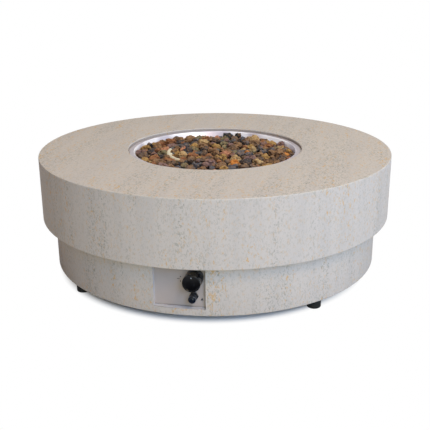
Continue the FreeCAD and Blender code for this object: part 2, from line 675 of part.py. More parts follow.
def make_drum():
    """The cast drum, with the panel window and its seat, the vents and every fixing hole."""
    body = turned_body("DrumCasting", (
        ("flange_inner", "drum_bottom"),
        ("drum_radius", "drum_bottom"),
        ("drum_radius", "drum_top"),
        ("rim_inner", "drum_top"),
        ("rim_inner", "rim_underside"),
        ("drum_inner", "rim_underside"),
        ("drum_inner", "flange_top"),
        ("flange_inner", "flange_top"),
    ))
    rounded(body, "DrumEdges", "drum_edge_round", [("drum_radius", "drum_bottom"), ("drum_radius", "drum_top")])
    tools = [
        block("Window", ("2 * window_half", "drum_wall + seat_depth", "window_height"),
              ("- window_half", "- drum_radius - 1", "window_bottom")),
        block("Seat", ("2 * (panel_half + panel_play)", "seat_depth", "panel_top + panel_play - flange_top"),
              ("- panel_half - panel_play", "- panel_setback", "flange_top")),
        cylinder("InletHole", "inlet_barrel + fit_gap", "drum_wall + 4",
                 (0, "drum_inner - 2", "line_level"), TO_BACK),
        cylinder("InletFlat", "spot_radius", 10, (0, "inlet_face", "line_level"), TO_BACK),
        cylinder("InletNutFlat", "spot_radius", 12,
                 (0, "inlet_face - inlet_wall - 12", "line_level"), TO_BACK),
    ]
    for place, bearing in enumerate(bearings(VENT_COUNT, 45)):
        tools.append(block("Vent%d" % place, ("drum_wall + 8", "vent_width", "vent_height"),
                           ("drum_inner - 4", "- vent_width / 2", "vent_bottom"), bearing))
    for place, bearing in enumerate(foot_bearings()):
        tools.append(cylinder("FootHole%d" % place, "insert_radius", "flange_thickness",
                              ("foot_circle", 0, "drum_bottom"), UPRIGHT, bearing))
    for place, bearing in enumerate(CLIP_BEARINGS):
        tools.append(cylinder("ClipHole%d" % place, "clip_screw_radius + fit_gap", "clip_screw_length + 2",
                              ("drum_inner - 2", 0, "line_level + clip_screw_rise"), TO_RIGHT, bearing))
    for place, (side, up) in enumerate(panel_corners()):
        tools.append(cylinder("PanelHole%d" % place, "panel_screw_radius + fit_gap", "panel_screw_length",
                              (side, "- panel_setback", up), TO_FRONT))
    node("base_drum", cut("Drum", body, tools))


def foot_bearings():
    """Bearings of the four feet."""
    return bearings(len(FEET), value("foot_bearing"))


def panel_corners():
    """Places of the panel's four screws."""
    return [(side + "panel_screw_side", up) for side in ("- ", "") for up in ("panel_screw_low", "panel_screw_high")]


def make_feet():
    """The four rubber feet, each with a recessed bolt into an insert in the drum's flange."""
    bolts = []
    inserts = []
    for name, bearing in zip(FEET, foot_bearings()):
        body = turned_body("Body_" + name, (
            ("foot_socket", 0),
            ("foot_radius", 0),
            ("foot_radius", "foot_height"),
            ("bolt_radius + fit_gap", "foot_height"),
            ("bolt_radius + fit_gap", "foot_socket_depth"),
            ("foot_socket", "foot_socket_depth"),
        ))
        rounded(body, "Round_" + name, "foot_round", [("foot_radius", 0)])
        node(name, placed(body, ("foot_circle", 0, 0), UPRIGHT, bearing))
        bolts.append(screw_at("Bolt_" + name, ("bolt_radius", "bolt_head"), ("bolt_length", "bolt_head_height"),
                              ("foot_circle", 0, "foot_socket_depth"), UPRIGHT, bearing, hexagon))
        sleeve = cylinder("Sleeve_" + name, "insert_radius - fit_gap", "insert_length")
        bore = cylinder("SleeveBore_" + name, "bolt_radius + fit_gap", "insert_length")
        inserts.append(placed(cut("Insert_" + name, sleeve, [bore]),
                              ("foot_circle", 0, "drum_bottom"), UPRIGHT, bearing))
    node("foot_bolts", grouped("FootBolts", bolts))
    node("foot_inserts", grouped("FootInserts", inserts))


def make_top_seat():
    """What lies between drum and top: rubber pads, and brackets that keep the top centred."""
    pads = []
    for place, bearing in enumerate(bearings(PAD_COUNT, 22.5)):
        pads.append(cylinder("Pad%d" % place, "pad_radius", "pad_thickness",
                             ("pad_circle", 0, "drum_top"), UPRIGHT, bearing))
    node("table_pads", grouped("TablePads", pads))
    brackets = []
    half = value("bracket_pitch") / 2
    for place, bearing in enumerate(bearings(BRACKET_COUNT, 45)):
        under = block("BracketLeg%d" % place, ("bracket_leg", "bracket_width", "bracket_plate"),
                      ("bracket_face - bracket_leg", "- bracket_width / 2", "slab_underside - bracket_plate"))
        beside = block("BracketDrop%d" % place, ("bracket_plate", "bracket_width", "bracket_drop"),
                       ("bracket_face - bracket_plate", "- bracket_width / 2", "slab_underside - bracket_drop"))
        holes = [cylinder("BracketHole%d%s" % (place, mark), "set_screw_radius + fit_gap", "3 * bracket_plate",
                          ("bracket_screw_circle", side, "slab_underside - 2 * bracket_plate"))
                 for mark, side in (("A", -half), ("B", half))]
        brackets.append(placed(cut("Bracket%d" % place, fused("BracketPlate%d" % place, [under, beside]), holes),
                               (0, 0, 0), UPRIGHT, bearing))
    node("top_brackets", grouped("TopBrackets", brackets))
    screws = []
    inserts = []
    for place, (bearing, side) in enumerate(bracket_screws()):
        spot = ("bracket_screw_circle", side, "slab_underside - bracket_plate")
        screws.append(screw_at("SetScrew%d" % place, ("set_screw_radius", "set_screw_head"),
                               ("set_screw_length", "set_screw_head_height"), spot, UPRIGHT, bearing, hexagon))
        sleeve = cylinder("SetSleeve%d" % place, "set_insert_radius - fit_gap", "set_insert_length")
        bore = cylinder("SetBore%d" % place, "set_screw_radius + fit_gap", "set_insert_length")
        inserts.append(placed(cut("SetInsert%d" % place, sleeve, [bore]),
                              ("bracket_screw_circle", side, "slab_underside"), UPRIGHT, bearing))
    node("bracket_screws", grouped("BracketScrews", screws))
    node("bracket_inserts", grouped("BracketInserts", inserts))


def station_spot():
    """Middle of the electrode and thermocouple station on the pan's floor."""
    angle = math.radians(value("station_bearing"))
    return Vector(math.cos(angle), math.sin(angle), 0) * value("station_circle")


def make_pan():
    """The stainless burner pan and the gasket under its flange."""
    body = turned_body("PanBody", (
        ("nipple_radius + stone_gap", "pan_underside"),
        ("pan_outer", "pan_underside"),
        ("pan_outer", "gasket_top"),
        ("pan_rim", "gasket_top"),
        ("pan_rim", "pan_top"),
        ("pan_radius", "pan_top"),
        ("pan_radius", "pan_floor"),
        ("nipple_radius + stone_gap", "pan_floor"),
    ))
    rounded(body, "PanBendInside", "pan_bend", [("pan_radius", "pan_floor")])
    rounded(body, "PanBendOutside", "pan_bend + sheet_thickness", [("pan_outer", "pan_underside")])
    rounded(body, "PanLipInside", "flange_bend", [("pan_radius", "pan_top")])
    rounded(body, "PanLipOutside", "flange_bend - sheet_thickness", [("pan_outer", "gasket_top")])
    spot = circles(body, "DrainSpot", "XY_Plane", [("pan_radius - drain_inset", 0, "drain_radius")])
    drain = pocketed(body, "Drain", spot, True)
    patterned(body, "Drains", drain, spot, DRAIN_COUNT)
    station = station_spot()
    lead_hole = cylinder("LeadHole", "grommet_radius - grommet_lip", 20,
                         (station.x, station.y, "pan_underside - 5"))
    bolt_hole = cylinder("StationHole", "clip_screw_radius + fit_gap", 20,
                         (station.x, station.y - 16, "pan_underside - 5"))
    node("burner_pan", cut("Pan", body, [lead_hole, bolt_hole]))

    gasket = new_body("GasketBody")
    rings = circles(gasket, "GasketRings", "XY_Plane", [
        (0, 0, "ledge_inner + fit_gap"), (0, 0, "ledge_inner + gasket_width")])
    padded(gasket, "GasketPad", rings, "gasket_thickness")
    node("pan_gasket", placed(gasket, (0, 0, "ledge_level")))


def make_burner():
    """The burner weldment of ring, crossbar and hub, its nipple, locknuts, mixer and orifice elbow."""
    ring = doc.addObject("Part::Torus", "RingTube")
    ring_bore = doc.addObject("Part::Torus", "RingBore")
    for torus, inset in ((ring, ""), (ring_bore, " - tube_wall")):
        tie(torus, "Radius1", "ring_radius")
        tie(torus, "Radius2", "tube_radius" + inset)
        placed(torus, (0, 0, "ring_level"))
    turn = value("burner_bearing")
    bar = cylinder("Crossbar", "crossbar_radius", "2 * ring_radius",
                   ("- ring_radius", 0, "ring_level"), TO_RIGHT, turn)
    bar_bore = cylinder("CrossbarBore", "crossbar_radius - tube_wall", "2 * ring_radius",
                        ("- ring_radius", 0, "ring_level"), TO_RIGHT, turn)
    hub = cylinder("Hub", "hub_radius", "hub_height", (0, 0, "hub_bottom"))
    hub_bore = cylinder("HubBore", "nipple_radius + fit_gap", "hub_height - 4", (0, 0, "hub_bottom"))
    tools = [ring_bore, bar_bore, hub_bore]
    for place, bearing in enumerate(bearings(PORT_COUNT, 5)):
        tools.append(cylinder("Port%d" % place, "port_radius", "2 * tube_radius",
                              ("ring_radius", 0, "ring_level"), UPRIGHT, bearing))
    node("burner_ring", cut("Burner", fused("BurnerTubes", [ring, bar, hub]), tools))

    nipple = cylinder("NippleBar", "nipple_radius", "hub_bottom - mixer_top + 2 * thread_depth",
                      (0, 0, "mixer_top - thread_depth"))
    nipple_bore = cylinder("NippleBore", "nipple_bore", "hub_bottom - mixer_top + 2 * thread_depth",
                           (0, 0, "mixer_top - thread_depth"))
    node("burner_nipple", cut("Nipple", nipple, [nipple_bore]))

    nuts = []
    for mark, level in (("Upper", "pan_floor"), ("Lower", "pan_underside - locknut_height")):
        nut = hexagon("Nut" + mark, "locknut_corner", "locknut_height", (0, 0, level))
        hole = cylinder("NutHole" + mark, "nipple_radius + fit_gap", "locknut_height", (0, 0, level))
        nuts.append(cut("Locknut" + mark, nut, [hole]))
    node("burner_locknuts", grouped("BurnerLocknuts", nuts))

    mixer = cylinder("MixerBar", "mixer_radius", "mixer_length", (0, 0, "mixer_bottom"))
    mixer_tools = [
        cylinder("MixerSocket", "nipple_radius + fit_gap", "thread_depth", (0, 0, "mixer_top - thread_depth")),
        cylinder("MixerBore", "nipple_bore", "mixer_length", (0, 0, "mixer_bottom")),
        cylinder("MixerFoot", "port_boss + fit_gap", "thread_depth", (0, 0, "mixer_bottom")),
    ]
    for mark, turned in (("X", 0), ("Y", 90)):
        mixer_tools.append(block("MixerWindow" + mark, ("4 * mixer_radius", "mixer_window", "mixer_window"),
                                 ("- 2 * mixer_radius", "- mixer_window / 2", "mixer_bottom + 2 * thread_depth"),
                                 turned))
    node("air_mixer", cut("Mixer", mixer, mixer_tools))

    elbow = fused("ElbowBody", [
        cylinder("ElbowUpright", "elbow_radius", "elbow_drop + elbow_radius", (0, 0, "elbow_level - elbow_radius")),
        cylinder("ElbowSpigot", "port_boss", "thread_depth", (0, 0, "mixer_bottom")),
        cylinder("ElbowArm", "port_boss", "elbow_reach", (0, 0, "elbow_level"), TO_FRONT),
    ])
    node("orifice_elbow", cut("OrificeElbow", elbow, [
        cylinder("ElbowArmBore", "gas_bore", "elbow_reach", (0, 0, "elbow_level"), TO_FRONT),
        cylinder("ElbowBore", "gas_bore", "elbow_drop", (0, 0, "elbow_level")),
        cylinder("Orifice", "orifice_radius", "elbow_drop + thread_depth", (0, 0, "elbow_level")),
    ]))


def make_shield():
    """The heat shield under the pan, hung on studs with spacers and nuts."""
    shield = new_body("ShieldBody")
    rings = circles(shield, "ShieldRings", "XY_Plane", [(0, 0, "shield_radius"), (0, 0, "shield_hole")])
    padded(shield, "ShieldPad", rings, "sheet_thickness")
    spot = circles(shield, "StudSpot", "XY_Plane", [("stud_circle", 0, "stud_radius + fit_gap")])
    patterned(shield, "StudHoles", pocketed(shield, "StudHole", spot, True), spot, STUD_COUNT)
    node("heat_shield", placed(shield, (0, 0, "shield_bottom")))
    studs = []
    spacers = []
    nuts = []
    for place, bearing in enumerate(bearings(STUD_COUNT)):
        low = "shield_bottom - stud_nut_height"
        studs.append(cylinder("Stud%d" % place, "stud_radius", "pan_underside - shield_bottom + stud_nut_height + 2",
                              ("stud_circle", 0, low + " - 2"), UPRIGHT, bearing))
        for name, shape, outer, height, level, group in (
                ("Spacer", cylinder, "spacer_radius", "shield_drop", "shield_top", spacers),
                ("StudNut", hexagon, "stud_nut_corner", "stud_nut_height", low, nuts)):
            solid = shape("%sSolid%d" % (name, place), outer, height)
            hole = cylinder("%sHole%d" % (name, place), "stud_radius + fit_gap", height)
            group.append(placed(cut("%s%d" % (name, place), solid, [hole]),
                                ("stud_circle", 0, level), UPRIGHT, bearing))
    node("shield_studs", grouped("ShieldStuds", studs))
    node("shield_spacers", grouped("ShieldSpacers", spacers))
    node("shield_nuts", grouped("ShieldNuts", nuts))


def make_panel():
    """The control panel: a plate with folded sides, seated behind the window and screwed from inside."""
    body = new_body("PanelBody")
    front = outline(body, "PanelFront", "XZ_Plane", (
        ("- panel_half", "panel_bottom"),
        ("panel_half", "panel_bottom"),
        ("panel_half", "panel_top"),
        ("- panel_half", "panel_top"),
    ))
    padded(body, "PanelPlate", front, "panel_thickness", True)
    for side, inner, outer in (("Left", "- panel_half + panel_thickness", "- panel_half"),
                               ("Right", "panel_half - panel_thickness", "panel_half")):
        fold = outline(body, "Fold" + side, "XZ_Plane", (
            (inner, "panel_bottom"), (outer, "panel_bottom"), (outer, "panel_top"), (inner, "panel_top")))
        padded(body, "Return" + side, fold, "panel_return", True)
    holes = [("control_offset", "knob_level", "nose_radius + stone_gap"),
             ("igniter_offset", "igniter_level", "igniter_barrel + stone_gap")]
    holes += [(side, up, "panel_screw_radius + fit_gap") for side, up in panel_corners()]
    pocketed(body, "PanelHoles", circles(body, "PanelHoleSpots", "XZ_Plane", holes), False)
    node("control_panel", placed(body, (0, "- panel_setback", 0)))
    screws = [
        screw_at("PanelScrew%d" % place, ("panel_screw_radius", "panel_screw_head"),
                 ("panel_screw_length", "screw_head_height"),
                 (side, "- panel_setback + panel_thickness", up), TO_FRONT)
        for place, (side, up) in enumerate(panel_corners())]
    node("panel_screws", grouped("PanelScrews", screws))


def on_panel(thing, level, across="control_offset"):
    """Puts a piece that was made about its own Z axis on the panel's face, pointing to the front."""
    return placed(thing, (across, "- panel_setback", level), TO_FRONT)


def flatted_bar(name, radius, flat, height, start):
    """A round bar with one flat, on the side of +Y."""
    bar = cylinder(name + "Round", radius, height, (0, 0, start))
    keep = block(name + "Keep", ("4 * stem_radius", "2 * stem_radius + " + flat, height),
                 ("- 2 * stem_radius", "- 2 * stem_radius", start))
    common = doc.addObject("Part::Common", name)
    common.Base = bar
    common.Tool = keep
    return common


def make_knob():
    """The knob with its pointer, and the bezel that its skirt slides in."""
    body = turned_body("KnobBody", (
        (0, "knob_reach - knob_dish"),
        ("knob_radius - knob_rim - knob_dish", "knob_reach - knob_dish"),
        ("knob_radius - knob_rim", "knob_reach"),
        ("knob_radius", "knob_reach"),
        ("knob_radius", "knob_shoulder"),
        ("knob_skirt", "knob_shoulder"),
        ("knob_skirt", "knob_skirt_end"),
        ("knob_cavity", "knob_skirt_end"),
        ("knob_cavity", "knob_reach - knob_face"),
        ("knob_boss", "knob_reach - knob_face"),
        ("knob_boss", "knob_boss_start"),
        (0, "knob_boss_start"),
    ))
    rounded(body, "KnobEdge", "knob_round", [("knob_radius", "knob_reach")])
    socket = flatted_bar("KnobSocket", "stem_radius + fit_gap", "stem_flat + fit_gap",
                         "stem_in_knob + stone_gap", "knob_boss_start")
    dot_hole = cylinder("DotHole", "pointer_radius + fit_gap", 6, (0, "pointer_offset", "knob_reach - 3"))
    knob = on_panel(cut("Knob", body, [socket, dot_hole]), "knob_level")
    node("control_knob", knob)
    dot = cylinder("Dot", "pointer_radius", 2.5, (0, "pointer_offset", "knob_reach - 3"))
    node("knob_pointer", on_panel(grouped("KnobPointer", [dot]), "knob_level"))
    bezel = turned_body("BezelBody", (
        ("bezel_inner", 0), ("bezel_outer", 0), ("bezel_outer", "bezel_length"), ("bezel_inner", "bezel_length")))
    rounded(bezel, "BezelEdge", "bezel_clear", [("bezel_outer", "bezel_length")])
    node("knob_bezel", on_panel(bezel, "knob_level"))


def make_tap():
    """The gas tap: body, panel nut, rotor, stem and spring."""
    back = "panel_thickness + valve_length"
    housing = fused("TapHousing", [
        block("TapBlock", ("2 * valve_side", "valve_up + valve_down", "valve_length"),
              ("- valve_side", "- valve_down", "- panel_thickness - valve_length")),
        cylinder("TapNose", "nose_radius", "nose_reach + panel_thickness", (0, 0, "- panel_thickness")),
        cylinder("TapInlet", "port_boss", "port_boss_length",
                 ("valve_side", "- port_drop", "port_line - panel_setback"), TO_RIGHT),
        cylinder("TapOutlet", "port_boss", "outlet_boss_length",
                 (0, "outlet_rise", "- panel_thickness - valve_length - outlet_boss_length")),
    ])
    chamber_start = "rotor_start - rotor_end_play"
    tools = [
        cylinder("Chamber", "rotor_radius + rotor_play", "rotor_length + 2 * rotor_end_play",
                 (0, 0, "- rotor_start - rotor_length - rotor_end_play")),
        cylinder("NoseBore", "nose_bore", "nose_reach + " + chamber_start, (0, 0, "- rotor_start + rotor_end_play")),
        cylinder("InletWay", "gas_bore", "valve_side + port_boss_length",
                 (0, "- port_drop", "port_line - panel_setback"), TO_RIGHT),
        cylinder("InletRise", "gas_bore", "port_drop", (0, "- port_drop", "port_line - panel_setback"), TO_BACK),
        cylinder("OutletWay", "gas_bore", back + " + outlet_boss_length - rotor_start - rotor_length",
                 (0, "outlet_rise", "- panel_thickness - valve_length - outlet_boss_length")),
    ]
    node("valve_body", on_panel(cut("Tap", housing, tools), "knob_level"))

    nut = hexagon("TapNutSolid", "valve_nut_corner", "valve_nut_height")
    nut_hole = cylinder("TapNutHole", "nose_radius + fit_gap", "valve_nut_height")
    node("valve_nut", on_panel(cut("TapNut", nut, [nut_hole]), "knob_level"))

    plug = cylinder("RotorPlug", "rotor_radius", "rotor_length", (0, 0, "- rotor_start - rotor_length"))
    rotor_tools = [
        flatted_bar("RotorSocket", "stem_radius + rotor_play", "stem_flat + rotor_play",
                    "stem_engaged + knob_travel + stone_gap",
                    "- rotor_start - stem_engaged - knob_travel - stone_gap"),
        cylinder("HighWay", "gas_bore", "rotor_radius + 1", (0, 0, "port_line - panel_setback"), TO_LEFT),
        cylinder("LowWay", "orifice_radius", "rotor_radius + 1", (0, 0, "port_line - panel_setback"), TO_BACK),
        cylinder("RotorBore", "gas_bore", "rotor_start + rotor_length - panel_setback + port_line",
                 (0, 0, "- rotor_start - rotor_length")),
    ]
    node("valve_rotor", on_panel(cut("Rotor", plug, rotor_tools), "knob_level"))

    shaft = flatted_bar("StemBar", "stem_radius", "stem_flat",
                        "knob_boss_start + stem_in_knob + rotor_start + stem_engaged",
                        "- rotor_start - stem_engaged")
    collar = cylinder("StemCollar", "collar_radius", "stem_collar_length", (0, 0, "collar_start"))
    node("valve_stem", on_panel(fused("Stem", [shaft, collar]), "knob_level"))

    coil = spring("StemSpring", "stem_spring_radius", "stem_spring_wire", value("spring_space") - 0.2, 5)
    node("stem_spring", placed(coil, ("control_offset", "rotor_start - panel_setback - 0.1", "knob_level"), TO_FRONT))


def make_igniter():
    """The push igniter: body, nut, screw cap, button, spring and battery."""
    housing = fused("IgniterSolid", [
        block("IgniterBlock", ("2 * igniter_half", "2 * igniter_half", "igniter_depth - panel_thickness"),
              ("- igniter_half", "- igniter_half", "- igniter_depth")),
        cylinder("IgniterTube", "igniter_barrel", "igniter_barrel_reach + panel_thickness",
                 (0, 0, "- panel_thickness")),
    ])
    bore_back = "igniter_barrel_reach - battery_setback - battery_length - battery_play"
    bore = cylinder("IgniterBore", "battery_radius + battery_play",
                    "battery_setback + battery_length + battery_play + 1", (0, 0, bore_back))
    node("igniter_body", on_panel(cut("Igniter", housing, [bore]), "igniter_level", "igniter_offset"))

    nut = hexagon("IgniterNutSolid", "igniter_nut_corner", "igniter_nut_height")
    nut_hole = cylinder("IgniterNutHole", "igniter_barrel + fit_gap", "igniter_nut_height")
    node("igniter_nut", on_panel(cut("IgniterNut", nut, [nut_hole]), "igniter_level", "igniter_offset"))

    ribs = []
    for count in (1, 3, 5):
        start = "cap_start" + " + cap_rib" * count
        end = start + " + cap_rib"
        ribs += [("cap_radius", start), ("cap_radius - cap_groove", start), ("cap_radius - cap_groove", end),
                 ("cap_radius", end)]
    cap = turned_body("CapBody", (
        ("igniter_barrel + fit_gap", "cap_start"),
        ("cap_radius", "cap_start"),
        *ribs,
        ("cap_radius", "cap_reach"),
        ("button_radius + button_gap", "cap_reach"),
        ("button_radius + button_gap", "cap_reach - cap_front"),
        ("igniter_barrel + fit_gap", "cap_reach - cap_front"),
    ))
    rounded(cap, "CapEdge", "cap_round", [("cap_radius", "cap_reach")])
    node("igniter_cap", on_panel(cap, "igniter_level", "igniter_offset"))

    button = turned_body("ButtonBody", (
        (0, "cap_reach - cap_front - button_flange_length"),
        ("button_flange", "cap_reach - cap_front - button_flange_length"),
        ("button_flange", "cap_reach - cap_front"),
        ("button_radius", "cap_reach - cap_front"),
        ("button_radius", "cap_reach + button_proud"),
        (0, "cap_reach + button_proud"),
    ))
    rounded(button, "ButtonEdge", "cap_round", [("button_radius", "cap_reach + button_proud")])
    node("igniter_button", on_panel(button, "igniter_level", "igniter_offset"))

    cell = cylinder("Cell", "battery_radius", "battery_length",
                    (0, 0, "igniter_barrel_reach - battery_setback - battery_length"))
    node("igniter_battery", on_panel(grouped("Battery", [cell]), "igniter_level", "igniter_offset"))

    room = value("cap_reach - cap_front - button_flange_length - igniter_barrel_reach + battery_setback")
    coil = spring("ButtonSpring", "button_spring_radius", "button_spring_wire", room - 0.2, 4)
    node("button_spring", placed(coil, (
        "igniter_offset", "battery_setback - igniter_barrel_reach - panel_setback - 0.1", "igniter_level"), TO_FRONT))


def make_supply():
    """The gas inlet in the back of the drum, and the line from it round the drum to the tap."""
    union = fused("UnionSolid", [
        hexagon("UnionHexagon", "inlet_flange", "inlet_flange_length"),
        cylinder("UnionThread", "inlet_thread", "inlet_flange_length + inlet_thread_length"),
        cylinder("UnionBarrel", "inlet_barrel", "elbow_back - 2 * elbow_half", (0, 0, "2 * elbow_half - elbow_back")),
    ])
    way = cylinder("UnionWay", "gas_bore", "elbow_back + inlet_thread_length", (0, 0, "2 * elbow_half - elbow_back"))
    node("inlet_union", placed(cut("Union", union, [way]), (0, "inlet_face", "line_level"), TO_BACK))

    nut = hexagon("InletNutSolid", "inlet_flange", "inlet_nut_height")
    hole = cylinder("InletNutHole", "inlet_barrel + fit_gap", "inlet_nut_height")
    node("inlet_locknut", placed(cut("InletNut", nut, [hole]),
                                 (0, "inlet_face - inlet_wall - inlet_nut_height", "line_level"), TO_BACK))

    elbow = fused("InletElbowSolid", [
        block("InletElbowBlock", ("2 * elbow_half", "2 * elbow_half", "2 * elbow_half"),
              ("- elbow_half", "port_line - elbow_half", "line_level - elbow_half")),
        cylinder("InletElbowBoss", "port_boss", "elbow_port", (0, "port_line", "line_level"), TO_RIGHT),
    ])
    node("inlet_elbow", cut("InletElbow", elbow, [
        cylinder("InletElbowOut", "gas_bore", "elbow_port", (0, "port_line", "line_level"), TO_RIGHT),
        cylinder("InletElbowIn", "gas_bore", "elbow_half", (0, "port_line", "line_level"), TO_BACK),
    ]))

    node("supply_line", shaped("SupplyLine", swept(supply_path(), value("line_outer"), value("line_bore"))))

    nuts = []
    for mark, start, side in (("Inlet", "elbow_port", "port_line"), ("Tap", "valve_port", "- port_line")):
        solid = hexagon("FlareNut" + mark, "flare_nut_corner", "flare_nut_length",
                        (start, side, "line_level"), TO_RIGHT)
        bore = cylinder("FlareHole" + mark, "line_outer + fit_gap", "flare_nut_length",
                        (start, side, "line_level"), TO_RIGHT)
        nuts.append(cut("Flare" + mark, solid, [bore]))
    node("supply_nuts", grouped("SupplyNuts", nuts))


def supply_path():
    """Straight out of the inlet elbow, round the inside of the drum on one large arc, straight into the tap."""
    level = value("line_level")
    bend = value("line_bend")
    offset = value("port_line")
    start = value("bend_start")
    join = math.atan2(offset - bend, start)
    half = (math.pi / 2 + join) / 2

    def on_bend(angle, side):
        """A point on an end bend, from its angle off the X axis."""
        return Vector(start + bend * math.cos(angle), side * (offset - bend + bend * math.sin(angle)), level)

    rear = [on_bend(math.pi / 2, 1), on_bend(half, 1), on_bend(join, 1)]
    front = [on_bend(join, -1), on_bend(half, -1), on_bend(math.pi / 2, -1)]
    side = Vector(value("line_radius"), 0, level)
    return Part.Wire([
        Part.LineSegment(Vector(value("elbow_port"), offset, level), rear[0]).toShape(),
        Part.Arc(*rear).toShape(),
        Part.Arc(rear[2], side, front[0]).toShape(),
        Part.Arc(*front).toShape(),
        Part.LineSegment(front[2], Vector(value("valve_port"), -offset, level)).toShape(),
    ])


def make_clips():
    """Clips that hold the supply line to the drum's wall, and their screws."""
    clips = []
    screws = []
    face = "drum_inner - stone_gap - clip_strap"
    for place, bearing in enumerate(CLIP_BEARINGS):
        half = "- clip_width / 2"
        loop = cylinder("ClipLoop%d" % place, "line_outer + fit_gap + clip_strap", "clip_width",
                        ("line_radius", half, "line_level"), TO_BACK)
        web = block("ClipWeb%d" % place, ("line_inset - stone_gap", "clip_width", "2 * clip_strap"),
                    ("line_radius", half, "line_level - clip_strap"))
        tab = block("ClipTab%d" % place, ("clip_strap", "clip_width", "clip_screw_rise + 2 * clip_screw_head"),
                    (face, half, "line_level - clip_screw_head"))
        bore = cylinder("ClipBore%d" % place, "line_outer + fit_gap", "2 * clip_width",
                        ("line_radius", "- clip_width", "line_level"), TO_BACK)
        hole = cylinder("ClipScrewHole%d" % place, "clip_screw_radius + fit_gap", 12,
                        ("drum_inner - 8", 0, "line_level + clip_screw_rise"), TO_RIGHT)
        clips.append(placed(cut("Clip%d" % place, fused("ClipSolid%d" % place, [loop, web, tab]), [bore, hole]),
                            (0, 0, 0), UPRIGHT, bearing))
        screws.append(screw_at("ClipScrew%d" % place, ("clip_screw_radius", "clip_screw_head"),
                               ("clip_screw_length", "screw_head_height"),
                               (face, 0, "line_level + clip_screw_rise"), TO_RIGHT, bearing))
    node("line_clips", grouped("LineClips", clips))
    node("clip_screws", grouped("ClipScrews", screws))


def make_feed():
    """The feed tube from the tap to the orifice elbow, with its two flare nuts."""
    outlet = value("knob_level + outlet_rise")
    port = value("panel_thickness + valve_length + outlet_boss_length - panel_setback")
    across = value("control_offset")
    level = value("elbow_level")
    reach = value("elbow_reach")
    run = value("feed_straight")
    path = bent_path([(across, port, outlet), (across, port + run, outlet), (0, - reach - run, level),
                      (0, - reach, level)])
    node("feed_tube", shaped("FeedTube", swept(path, value("feed_radius"), value("feed_bore"))))
    nuts = []
    for mark, at in (
            ("Burner", (0, "- elbow_reach", "elbow_level")),
            ("Tap", ("control_offset",
                     "panel_thickness + valve_length + outlet_boss_length + flare_nut_length - panel_setback",
                     "knob_level + outlet_rise"))):
        solid = hexagon("FeedNut" + mark, "flare_nut_corner - 1", "flare_nut_length")
        bore = cylinder("FeedHole" + mark, "feed_radius + fit_gap", "flare_nut_length")
        nuts.append(placed(cut("FeedFlare" + mark, solid, [bore]), at, TO_FRONT))
    node("feed_nuts", grouped("FeedNuts", nuts))


